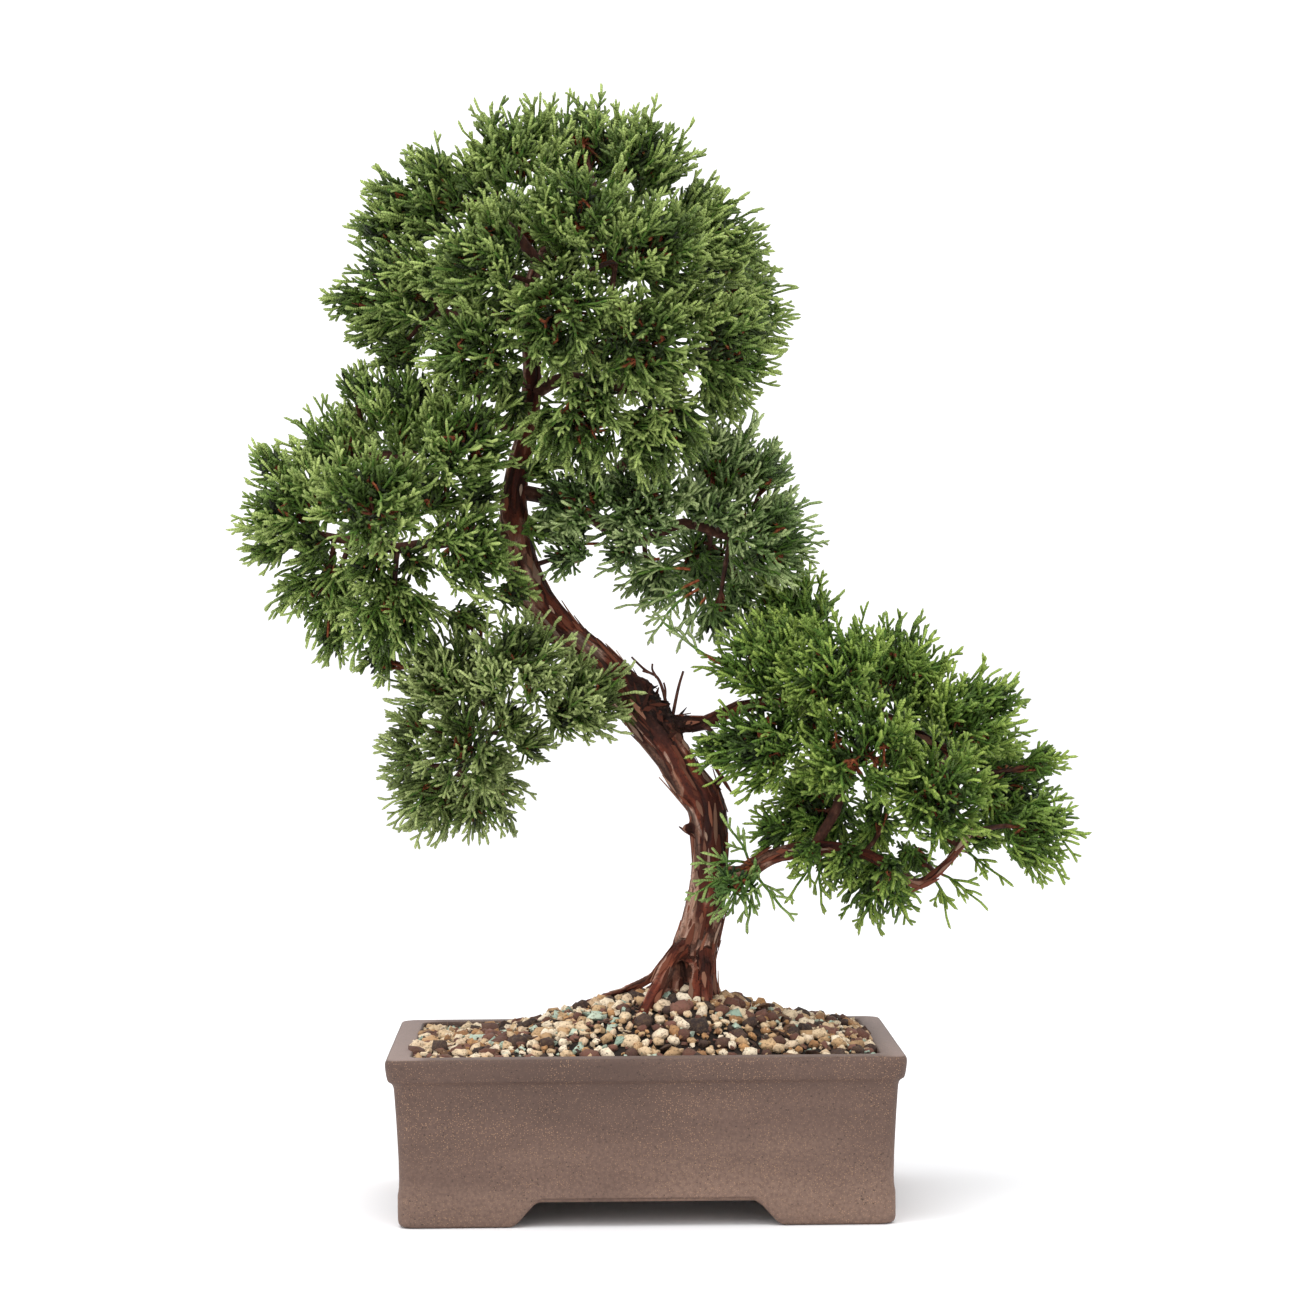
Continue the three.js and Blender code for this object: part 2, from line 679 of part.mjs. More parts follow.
// The nearest approach of two segments, with how far along each it is
function nearestApproach(a0, a1, b0, b1) {
  const u = a1.clone().sub(a0);
  const v = b1.clone().sub(b0);
  const w = a0.clone().sub(b0);
  const uu = u.dot(u);
  const uv = u.dot(v);
  const vv = v.dot(v);
  const uw = u.dot(w);
  const vw = v.dot(w);
  const cross = uu * vv - uv * uv;
  const clamp = THREE.MathUtils.clamp;
  let s = cross > 1e-9 ? clamp((uv * vw - vv * uw) / cross, 0, 1) : 0;
  const t = clamp((uv * s + vw) / vv, 0, 1);
  s = clamp((uv * t - uw) / uu, 0, 1);
  const pointA = a0.clone().addScaledVector(u, s);
  const pointB = b0.clone().addScaledVector(v, t);
  return { distance: pointA.distanceTo(pointB), s, t };
}

const SHOOTS = [];

// A spray or shoot tapers from the width of its foot to a fine tip
function shootRadius({ width }, along) {
  return TIP_RADIUS + width * (1 - along);
}

// Whether a shoot stays clear of the wood, of the other cores and of the shoots made before it
function isClear(shoot) {
  const { root, tip, tuft } = shoot;
  const clearOfCores = TUFTS.every((other) => {
    const { distance, s } = nearestApproach(root, tip, other.centre, other.top);
    return other === tuft || distance > other.core + shootRadius(shoot, s) + SHOOT_CLEARANCE;
  });
  if (!clearOfCores) {
    return false;
  }
  const clearOfWood = WOOD_STRETCHES.every(({ start, end, startRadius, endRadius }) => {
    const { distance, s, t } = nearestApproach(root, tip, start, end);
    const radius = THREE.MathUtils.lerp(startRadius, endRadius, t);
    return distance > radius + shootRadius(shoot, s) + SHOOT_CLEARANCE;
  });
  if (!clearOfWood) {
    return false;
  }
  return SHOOTS.every((other) => {
    const { distance, s, t } = nearestApproach(root, tip, other.root, other.tip);
    const ownFoot = other.tuft === tuft && s < SHARED_FOOT && t < SHARED_FOOT;
    const room = shootRadius(shoot, s) + shootRadius(other, t);
    return ownFoot || distance > room + (other.tuft === tuft ? 0 : SHOOT_CLEARANCE);
  });
}

function middleOf(points) {
  const sum = points.reduce((total, point) => total.add(point), new THREE.Vector3());
  return sum.divideScalar(points.length);
}

// Raises a three-sided spike on a whole face of the core
function raiseSpray(corners, [a, b, c], tip, triangles) {
  const top = corners.push(tip) - 1;
  triangles.push([a, b, top], [b, c, top], [c, a, top]);
}

// Raises a slim three-sided shoot on a small foot in the middle of a face of the core
function raiseShoot(corners, face, tip, triangles) {
  const middle = middleOf(face.map((k) => corners[k]));
  const foot = face.map((k) => {
    const out = corners[k].clone().sub(middle).setLength(SLIM_FOOT);
    return corners.push(out.add(middle)) - 1;
  });
  face.forEach((k, i) => {
    const next = (i + 1) % 3;
    triangles.push([k, face[next], foot[next]], [k, foot[next], foot[i]]);
  });
  raiseSpray(corners, foot, tip, triangles);
}

// The faceted core of a tuft, with its flat foot on the twig, and which of its faces bear foliage
function tuftCore({ centre, core, twig }) {
  const up = twig.direction;
  const sideways = new THREE.Vector3(0.3, 0.2, 1).cross(up).normalize();
  const across = up.clone().cross(sideways);
  const spin = between(0, Math.PI);
  const ringAt = (height, width, phase, wobble) =>
    Array.from({ length: CORE_SIDES }, (_, k) => {
      const angle = spin + phase + (2 * Math.PI * k) / CORE_SIDES;
      const reach = width * (1 - wobble * random());
      return centre
        .clone()
        .addScaledVector(up, height)
        .addScaledVector(sideways, reach * Math.cos(angle))
        .addScaledVector(across, reach * Math.sin(angle));
    });
  const halfStep = Math.PI / CORE_SIDES;
  const rings = [
    ringAt(-core, TWIG_RADIUS + 0.6, 0, 0),
    ...CORE_RINGS.map(([height, width], i) =>
      ringAt(core * height, core * width, i * halfStep, CORE_WOBBLE),
    ),
  ];
  const corners = [...rings.flat(), centre.clone().addScaledVector(up, core)];
  const apex = corners.length - 1;
  const plain = [];
  const bearing = [];
  for (let k = 1; k + 1 < CORE_SIDES; k += 1) {
    plain.push([0, k + 1, k]);
  }
  for (let k = 0; k < CORE_SIDES; k += 1) {
    const next = (k + 1) % CORE_SIDES;
    plain.push([k, next, CORE_SIDES + next]);
    bearing.push([k, CORE_SIDES + next, CORE_SIDES + k]);
    for (let ring = 1; ring < CORE_RINGS.length; ring += 1) {
      const low = ring * CORE_SIDES;
      const high = low + CORE_SIDES;
      bearing.push([low + k, low + next, high + k], [low + next, high + next, high + k]);
    }
    const last = CORE_RINGS.length * CORE_SIDES;
    bearing.push([last + k, last + next, apex]);
  }
  return { corners, plain, bearing };
}

// One tuft: sprays stand side by side all over its core, with slim shoots reaching past them
function tuftGeometry(tuft) {
  const { corners, plain, bearing } = tuftCore(tuft);
  const triangles = [...plain];
  bearing.forEach((face) => {
    const [a, b, c] = face.map((k) => corners[k]);
    const root = middleOf([a, b, c]);
    const normal = b.clone().sub(a).cross(c.clone().sub(a)).normalize();
    const outward = root.clone().sub(tuft.centre).normalize();
    const slim = random() < SHOOT_SHARE;
    const halfFace = Math.max(...[a, b, c].map((corner) => corner.distanceTo(root)));
    const width = slim ? SLIM_FOOT : halfFace;
    for (let attempt = 0; attempt < SHOOT_TRIES; attempt += 1) {
      const spread = SHOOT_SPREAD * (1 + attempt / 8);
      const stray = new THREE.Vector3(between(-1, 1), between(-1, 1), between(-1, 1));
      const lean = outward.clone().addScaledVector(stray, spread);
      lean.z += SHOOT_LIFT;
      lean.normalize();
      const reach = tuft.radius * between(...(slim ? SHOOT_REACH : SPRAY_REACH));
      const shortening = 1 - 0.5 * (attempt / SHOOT_TRIES);
      const length = (reach - root.distanceTo(tuft.centre)) * shortening;
      const tip = root.clone().addScaledVector(lean, length);
      const shoot = { root, tip, tuft, width };
      if (lean.dot(normal) > 0.5 && length > SHORTEST_SHOOT && isClear(shoot)) {
        SHOOTS.push(shoot);
        const raise = slim ? raiseShoot : raiseSpray;
        raise(corners, face, tip, triangles);
        return;
      }
    }
    triangles.push(face);
  });
  return meshOf(corners, triangles);
}

const CLAY = new THREE.MeshStandardMaterial({ color: 0x7d675e, roughness: 0.8, metalness: 0 });
const GRAVEL = new THREE.MeshStandardMaterial({ color: 0xb09270, roughness: 0.95, metalness: 0 });
const BARK = new THREE.MeshStandardMaterial({ color: 0x7a4433, roughness: 0.85, metalness: 0 });
const SCREEN = new THREE.MeshStandardMaterial({ color: 0x23262a, roughness: 0.6, metalness: 0 });

const bonsai = new THREE.Group();
bonsai.position.set(-FOOTPRINT_MIDDLE_X, -FOOTPRINT_MIDDLE_Y, 0);

function place(name, geometry, material) {
  const mesh = new THREE.Mesh(geometry, material);
  mesh.name = name;
  bonsai.add(mesh);
  return mesh;
}

place('pot', pot(), CLAY);

const SCREENS = { drain_screen_left: -DRAIN_SPACING / 2, drain_screen_right: DRAIN_SPACING / 2 };
Object.entries(SCREENS).forEach(([name, x]) => {
  place(name, drainScreen(), SCREEN).position.set(x, 0, FLOOR_TOP + SEAT_GAP + SCREEN_THICKNESS / 2);
});

const pockets = Object.values(SCREENS).map(screenPocket);
const filling = pockets.reduce((soil, pocket) => soil.subtract(pocket), solidOf(soilBody()));
const plantedSoil = largestBody(filling.subtract(rootedWood(ROOT_GAP)));
place('soil', geometryOf(plantedSoil), GRAVEL);

place('trunk', geometryOf(largestBody(wood())), BARK);

TUFTS.forEach((tuft) => {
  const leaf = new THREE.MeshStandardMaterial({ color: tuft.colour, roughness: 0.7, metalness: 0 });
  place(tuft.name, tuftGeometry(tuft), leaf);
});

export default bonsai;
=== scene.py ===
"""A Chinese juniper bonsai in its clay pot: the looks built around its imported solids.

Lists of places are in millimetres from the middle of the pot's footprint, as the solids' are.
A finished mesh is in metres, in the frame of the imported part.
"""

import math

import bmesh
import bpy
import numpy as np
from mathutils import Matrix, Vector, noise


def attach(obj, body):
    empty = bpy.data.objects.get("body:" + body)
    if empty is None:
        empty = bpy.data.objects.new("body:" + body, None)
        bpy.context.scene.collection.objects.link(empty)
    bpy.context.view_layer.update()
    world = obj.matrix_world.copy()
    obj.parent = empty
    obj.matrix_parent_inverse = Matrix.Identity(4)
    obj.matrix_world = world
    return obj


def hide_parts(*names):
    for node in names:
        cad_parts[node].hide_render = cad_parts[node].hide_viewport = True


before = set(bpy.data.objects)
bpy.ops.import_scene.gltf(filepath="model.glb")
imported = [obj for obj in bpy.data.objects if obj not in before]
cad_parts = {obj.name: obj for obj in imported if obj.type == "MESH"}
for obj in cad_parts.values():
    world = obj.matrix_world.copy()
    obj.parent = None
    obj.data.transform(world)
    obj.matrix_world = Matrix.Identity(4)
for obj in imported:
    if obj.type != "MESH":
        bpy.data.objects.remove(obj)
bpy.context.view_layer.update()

MM = 0.001
# The middle of the pot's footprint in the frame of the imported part
SHIFT = np.array([-4.0, 1.1, 0.0])
SEED = 4127
rng = np.random.default_rng(SEED)
noise.seed_set(SEED)

# The camera, fitted to the corners of the pot, with its angles in radians
CAMERA_PLACE = (-26.8, -1714.9, 276.5)
CAMERA_HEADING = 0.0181
CAMERA_DROP = 0.0137
CAMERA_ROLL = 0.0068
FOCAL_PIXELS = 3734.3
PICTURE_PIXELS = 1300
SENSOR_WIDTH = 36
FLOOR_REACH = 30

# The pot
POT_HALF = (115.0, 80.5)
CORNER_RADIUS = 6.0
FOOT_HEIGHT = 11.0
FLOOR_TOP = 18.0
ARCH_HALF = (48.0, 26.0)
ARCH_FLARE = 12.5
DRAIN_RADIUS = 8.0
DRAIN_SPACING = 104.0

# Rings of the pot from its inside, over the rim and down the wall: inset, height, corner radius
POT_RINGS = [
    (11.4, 26, 4.5), (11.4, 73.6, 5), (11.2, 74.4, 5), (10.6, 74.9, 5.4), (9.6, 75.05, 5.6),
    (6, 75.1, 6), (2.4, 75.05, 6), (1.1, 74.8, 6), (0.4, 74.2, 6), (0.05, 73.3, 6), (0, 72.2, 6),
    (0.15, 70.2, 6), (0.45, 67.9, 6), (0.8, 66.1, 6), (1.1, 65.2, 6), (1.6, 64.6, 6),
    (2.5, 64, 6), (3.2, 63.1, 6), (3.6, 61.6, 6), (3.8, 59.5, 6), (4.0, 56.5, 6), (4.5, 49, 6),
    (5.0, 40, 6), (5.5, 30, 6), (5.7, 21, 6), (5.6, 17.6, 6), (5.35, 15.8, 6), (5.1, 14.4, 6),
    (5.05, 13.4, 6),
]
# Rings below them: inset, and height where the arches cut away so much of the foot band
FOOT_RINGS = [
    (5.05, lambda cut: max(cut + 1.6, min(12.6, cut + 7))),
    (5.1, lambda cut: cut + 3.2 - cut * 0.14),
    (5.35, lambda cut: cut + 1.9 - cut * 0.08),
    (5.9, lambda cut: cut + 0.9 - cut * 0.04),
    (6.8, lambda cut: cut + 0.25 - cut * 0.01),
    (8.2, lambda cut: cut),
    (14.4, lambda cut: cut),
    (15.1, lambda cut: min(cut + 0.25, FOOT_HEIGHT)),
    (15.4, lambda cut: min(cut + 0.9, FOOT_HEIGHT)),
    (15.5, lambda cut: FOOT_HEIGHT),
    (40, lambda cut: FOOT_HEIGHT),
]

# The soil
SOIL_EDGE = 71.0
SOIL_INSET = 12.1
SOIL_FOOT_INSET = 15.5
SOIL_FOOT = FLOOR_TOP + 1.9
PEBBLE_SHAPES = 14
SOIL_CREST = [
    (-104, 73), (-60, 77), (-44, 83), (-20, 90), (0, 94),
    (22, 97), (42, 91), (67, 83.5), (88, 80.5), (97, 77.5), (104, 71.5),
]

# The wood, each point as x, y, z, radius
TRUNK = [
    (23, 0, 66, 12), (23, 0, 84, 14), (23, 0, 103, 11), (24, 0, 115, 10.9),
    (28, -1, 130, 9.8), (30, -2, 145, 8.8), (31, -3, 163, 8.3), (29, -4, 182, 8.8),
    (20, -4, 195, 8.5), (12, -3, 209, 8.6), (3, -1, 221, 9.4), (-7, 2, 234, 9.2),
    (-19, 4, 247, 8.5), (-34, 6, 260, 8.1), (-47, 6, 276, 7.9), (-54, 5, 293, 7.6),
    (-57, 4, 308, 7.6), (-58, 3, 322, 6.5), (-56, 2, 336, 5.8), (-51, 1, 356, 5.1),
    (-49, 3, 380, 4.6), (-50, 6, 404, 4.1), (-48, 7, 426, 3.5), (-40, 8, 440, 3),
]
LIMBS = [
    [(30, -3, 151, 5.2), (44, -10, 150, 4.6), (59, -18, 159, 4), (78, -24, 163, 3.6),
     (96, -28, 162, 3), (112, -30, 155, 2.6), (124, -30, 147, 2.4), (137, -28, 155, 2.2),
     (150, -24, 170, 2)],
    [(78, -24, 163, 2.6), (90, -16, 186, 2.2), (92, -4, 204, 1.9)],
    [(14, -2, 218, 4.4), (29, 2, 219, 3.6), (46, 4, 226, 3.2), (69, 4, 229, 2.8),
     (91, -2, 229, 2.4), (115, -6, 221, 2.1), (135, -6, 209, 1.9), (151, -6, 195, 1.7)],
    [(-57, 4, 303, 4), (-69, -2, 305, 3.6), (-81, -4, 305, 3.2), (-93, -4, 303, 2.9),
     (-111, -2, 301, 2.6), (-133, 2, 304, 2.2), (-147, 4, 307, 1.9)],
    [(-54, 1, 352, 3.4), (-69, -2, 360, 2.9), (-83, 0, 355, 2.6), (-101, 2, 346, 2.3),
     (-123, 6, 342, 1.9)],
    [(-34, 6, 260, 3.6), (-46, 2, 258, 3.2), (-65, 2, 251, 2.8), (-75, 6, 235, 2.5),
     (-80, 8, 214, 2.2), (-83, 10, 197, 1.8)],
    [(-57, 2, 327, 3.8), (-37, 12, 322, 3.4), (-23, 22, 315, 3.2), (-3, 28, 304, 2.9),
     (21, 32, 311, 2.5), (43, 30, 306, 2.1)],
    [(-23, 22, 315, 3), (-6, 32, 340, 2.4), (14, 34, 358, 2)],
    [(-50, 2, 370, 3.4), (-32, -4, 378, 3), (-9, -6, 373, 2.6), (12, -6, 376, 2.2),
     (28, -4, 390, 1.9)],
    [(-49, 4, 391, 3.2), (-43, 24, 402, 2.8), (-29, 32, 414, 2.3), (-3, 32, 413, 2)],
    [(-50, 4, 400, 3), (-66, 2, 406, 2.6), (-84, 4, 406, 2.2), (-93, 2, 411, 1.9)],
    [(-44, 8, 437, 2.8), (-22, 4, 442, 2.5), (-4, 2, 443, 2.2), (18, 2, 437, 1.9)],
    [(-46, 7, 431, 2.8), (-61, 4, 449, 2.4), (-73, 4, 456, 2)],
    [(-40, 8, 440, 2.6), (-29, 6, 458, 2.2), (-15, 4, 464, 1.8)],
    [(-50, 6, 412, 2.8), (-43, -14, 417, 2.4), (-31, -24, 421, 2)],
]
ROOTS = [
    [(18, -8, 116, 4.6), (11, -14, 108, 4), (5, -22, 98, 3.5), (-1, -32, 89, 3),
     (-6, -42, 83, 2.4), (-9, -51, 74, 1.8)],
    [(22, -5, 112, 4.4), (22.5, -12, 106, 3.4), (22.5, -18, 100, 3), (24, -28, 84, 2.2)],
    [(27, -3, 119, 4.6), (27.5, -9, 112, 4.2), (28, -17, 99, 3.4), (29, -25, 84, 2.4)],
    [(15, 2, 112, 4.2), (10, 3, 107, 3.2), (3, 6, 101, 2.5), (-10, 12, 95, 2),
     (-24, 16, 90, 1.7), (-38, 20, 84, 1.5), (-48, 22, 74, 1.3)],
    [(27, 6, 108, 4.6), (31, 16, 98, 3.4), (34, 28, 84, 2.4)],
    [(20, 7, 108, 4.8), (15, 20, 98, 3.6), (10, 34, 84, 2.4)],
]
KNOTS = [
    (6, -2, 223, 8), (13, 1, 216.5, 6.6), (0, -1, 234, 6.4), (20.5, -8, 171, 3),
    (20, -10, 186, 3.4), (25, -6, 116, 4.2), (29, -11.5, 188, 2.6),
]
SPURS = [
    [(31, -3, 188, 2.6), (35, -2, 192, 1.8), (38, -2, 195, 0.9)],
    [(14.5, 1, 220, 0.9), (9.5, 0, 234, 0.75), (6, 0, 241.5, 0.65), (0.5, -1, 244, 0.5)],
    [(6, 0, 241.5, 0.6), (1.5, 0, 244.5, 0.6), (-4, -1, 250.5, 0.45)],
    [(6.5, 0, 240.5, 0.6), (4.8, 0, 244.5, 0.5), (5, 0, 247.5, 0.45)],
    [(11, 0, 231, 0.6), (10.6, 0, 234.5, 0.5), (9.6, 0, 238, 0.45)],
    [(14.5, 1, 220, 0.9), (17, 1, 234, 0.7), (19.5, 2, 243, 0.55)],
]
# The limbs, by their number in the list, that are fused with the trunk and its first spur
FUSED_LIMBS = (0, 2)
WOOD_VOXEL = 0.00115

# Marked places on the wood: middle, reach each way, and how many reaches out the mark ends
BURL = ((7, -1, 224), (15, 14, 17), 1.5)
MOSS = ((-8, -4, 225), (6, 9, 8), 1.4)
HOLLOW = ((19, -10, 101), (6, 8, 12), 1.4)
HOLLOW_DEPTH = 5.0

# The foliage, each tuft as x, y, z, radius to the tips of its shoots
TUFTS = {
    "crown": [
        (-57, -18, 480, 29), (-23, 22, 487, 29), (4, -16, 477, 27), (-27, -48, 449, 31),
        (-99, 6, 458, 30), (-112, -8, 419, 31), (-72, -44, 429, 31), (34, -4, 437, 31),
        (9, -46, 432, 31), (-35, -58, 400, 31), (40, -30, 388, 29), (3, -54, 390, 30),
        (-74, -42, 387, 29), (-60, 46, 448, 32), (-8, 50, 446, 32), (-94, 46, 418, 31),
        (48, 40, 410, 31), (-12, 54, 395, 32), (-28, -44, 354, 29), (9, -36, 352, 28),
    ],
    "left": [
        (-108, -6, 364, 30), (-139, 14, 349, 26), (-160, -6, 321, 28), (-120, -48, 321, 31),
        (-79, -44, 348, 30), (-77, -40, 300, 28), (-146, 8, 282, 27), (-114, -16, 268, 28),
        (-124, 48, 325, 32),
    ],
    "lower_left": [
        (-91, -6, 242, 29), (-55, -34, 249, 28), (-24, -25, 233, 24), (-79, -16, 209, 27),
        (-99, 17, 186, 25), (-71, 10, 185, 23),
    ],
    "right": [
        (0, -4, 322, 29), (42, 30, 338, 30), (59, 12, 305, 30), (31, 56, 294, 28),
        (9, 26, 285, 19), (-31, -12, 322, 24),
    ],
    "lower_right": [
        (56, -14, 248, 29), (86, -44, 245, 30), (119, -2, 244, 30), (149, -18, 220, 29),
        (169, 6, 188, 29), (177, -30, 171, 23), (52, -38, 212, 29), (97, -56, 208, 31),
        (133, -50, 188, 29), (80, 2, 178, 29), (109, 0, 146, 24), (70, 30, 268, 28),
        (134, 38, 197, 30),
    ],
    "trunk_sprig": [(41, -37, 148, 18)],
}
# Smaller ones between them, which no node of the solids stands for
SPRIGS = {
    "crown": [
        (26, 0, 458, 14), (-118, 0, 446, 14), (-44, 0, 400, 15), (-122, 0, 400, 12),
        (-94, -6, 474, 13), (-75, -8, 468, 15), (-110, -6, 390, 14), (22, -20, 411, 15),
        (-37, -30, 430, 14), (-20, -20, 372, 14), (38, 6, 370, 15), (-60, -16, 376, 12),
        (-112, 0, 464, 12), (-132, 0, 414, 12), (-59, -14, 410, 12), (8, -10, 374, 13),
        (-57, -14, 364, 11),
    ],
    "left": [
        (-142, 0, 260, 12), (-120, 4, 250, 12), (-80, -10, 267, 13), (-122, -20, 293, 15),
        (-92, -8, 326, 16), (-170, 0, 300, 12), (-74, -16, 324, 13), (-150, -6, 301, 13),
        (-104, -12, 294, 12), (-58, -18, 280, 11), (-130, 0, 374, 11), (-168, 0, 338, 12),
        (-46, -10, 336, 11), (-46, -12, 308, 10), (-114, -10, 281, 12),
    ],
    "lower_left": [
        (-108, 0, 204, 13), (-58, -18, 222, 14), (-69, -20, 236, 13), (-36, -24, 224, 14),
        (-50, -14, 209, 12), (-106, 0, 219, 12), (-78, 4, 177, 12),
    ],
    "right": [
        (60, 16, 336, 13), (-34, -8, 297, 14), (36, 20, 267, 13), (27, 10, 320, 14),
        (46, 24, 276, 13), (-8, -6, 298, 12), (-30, -8, 310, 12), (36, 0, 316, 12),
    ],
    "lower_right": [
        (124, -10, 157, 12), (34, -20, 208, 12), (108, -20, 176, 15), (86, -20, 196, 15),
        (76, -16, 219, 14), (60, -14, 171, 12), (88, -10, 155, 12), (152, -10, 168, 13),
        (121, -16, 226, 13), (164, -10, 229, 12), (182, -8, 200, 11), (101, -12, 166, 11),
        (138, -12, 167, 11), (92, -37, 160, 11), (111, -39, 153, 11), (75, -35, 161, 9),
    ],
}

# Single plumes, each as where it leaves the wood, where its shoots begin, and its tip
LOOSE = {
    "right": [
        [(36, -10, 247), (22, -10, 256), (11, -10, 265)],
        [(27, 4, 285), (12, 0, 277), (0, -2, 274)],
        [(23, 4, 290), (7, 0, 290), (-4, -2, 287)],
        [(27, 4, 281), (14, 0, 272), (9, -2, 264)],
        [(30, 4, 277), (24, 0, 269), (21, -2, 261)],
        [(9, 4, 295), (-3, 0, 295), (-12, -2, 291)],
        [(-19, 0, 302), (-30, -2, 301), (-35, -4, 296)],
    ],
    "lower_right": [
        [(79, -14, 161), (76, -18, 154), (70, -20, 146)],
        [(79, -14, 161), (80, -18, 151), (81, -18, 143)],
        [(134, -8, 151), (142, -12, 147), (150, -14, 140)],
        [(131, -8, 150), (136, -12, 144), (138, -12, 136)],
        [(146, -6, 160), (153, -10, 156), (160, -12, 151)],
        [(178, -20, 170), (183, -22, 162), (187, -22, 155)],
        [(172, -20, 168), (177, -22, 160), (179, -22, 152)],
        [(184, -14, 176), (189, -16, 169), (193, -16, 163)],
    ],
    "trunk_sprig": [
        [(50, -20, 155), root, tip]
        for root, tip in [
            ((56, -30, 145), (62, -32, 137)),
            ((49, -30, 144), (48, -32, 134)),
            ((40, -32, 146), (34, -34, 137)),
            ((36, -32, 151), (26, -34, 145)),
            ((39, -32, 158), (30, -34, 157)),
            ((46, -28, 163), (41, -30, 170)),
            ((45, -36, 150), (40, -38, 143)),
        ]
    ],
}

# The most tufts that share a piece, and the places for plumes as a share of a tuft's radius squared
PIECE_TUFTS = 8
PLUMES = 0.085
SPARSE = {"trunk_sprig": 0.035}
# The turn from one fork of a twig to the next, in radians
FORK_TURN = 2.39996
# Shoots stand so far apart on a plume's twig, and lean off it by so many degrees
SHOOT_PITCH = 2.6
SHOOT_LEAN = (22, 42)
# Plumes lean out of their pad by their distance from its middle, as a share of this
PAD_REACH = 60
# The share of a tuft's radius that plumes of its neighbours stay out of
HEART = 0.3

# A shoot's cords of scale leaves
SHOOT_LENGTH = 13.0
SHOOT_BOW = 1.1
CORD_RADIUS = 0.75
# Each fork of a shoot: how far up, which side, and its length as a share
FORKS = [
    [],
    [(0.48, 1, 0.42)],
    [(0.3, -1, 0.46)],
    [(0.24, -1, 0.48), (0.52, 1, 0.36)],
    [(0.2, 1, 0.48), (0.42, -1, 0.4), (0.64, 1, 0.28)],
]


def step_at(first):
    """The two values of "kind" between which the pebble shape numbered first begins."""
    return (first - 0.01) / PEBBLE_SHAPES, (first + 0.01) / PEBBLE_SHAPES


def linear(code):
    """A screen colour written as six hex digits, as the light it stands for."""
    shares = [int(code[i : i + 2], 16) / 255 for i in (0, 2, 4)]
    return (*[((s + 0.055) / 1.055) ** 2.4 if s > 0.04045 else s / 12.92 for s in shares], 1.0)


class Wire:
    """One value in a node tree. Sums on it add Math nodes."""

    def __init__(self, tree, socket):
        self.tree = tree
        self.socket = socket

    def math(self, operation, *others):
        values = dict(enumerate((self, *others)))
        return self.tree.node("ShaderNodeMath", values, operation=operation)

    def __add__(self, other):
        return self.math("ADD", other)

    def __sub__(self, other):
        return self.math("SUBTRACT", other)

    def __rsub__(self, other):
        return self * -1.0 + other

    def __mul__(self, other):
        return self.math("MULTIPLY", other)

    def __pow__(self, other):
        return self.math("POWER", other)

    __radd__ = __add__
    __rmul__ = __mul__

    def rise(self, low, high):
        """Runs smoothly from 0 at low to 1 at high."""
        values = {0: self, 1: low, 2: high}
        return self.tree.node("ShaderNodeMapRange", values, interpolation_type="SMOOTHSTEP")


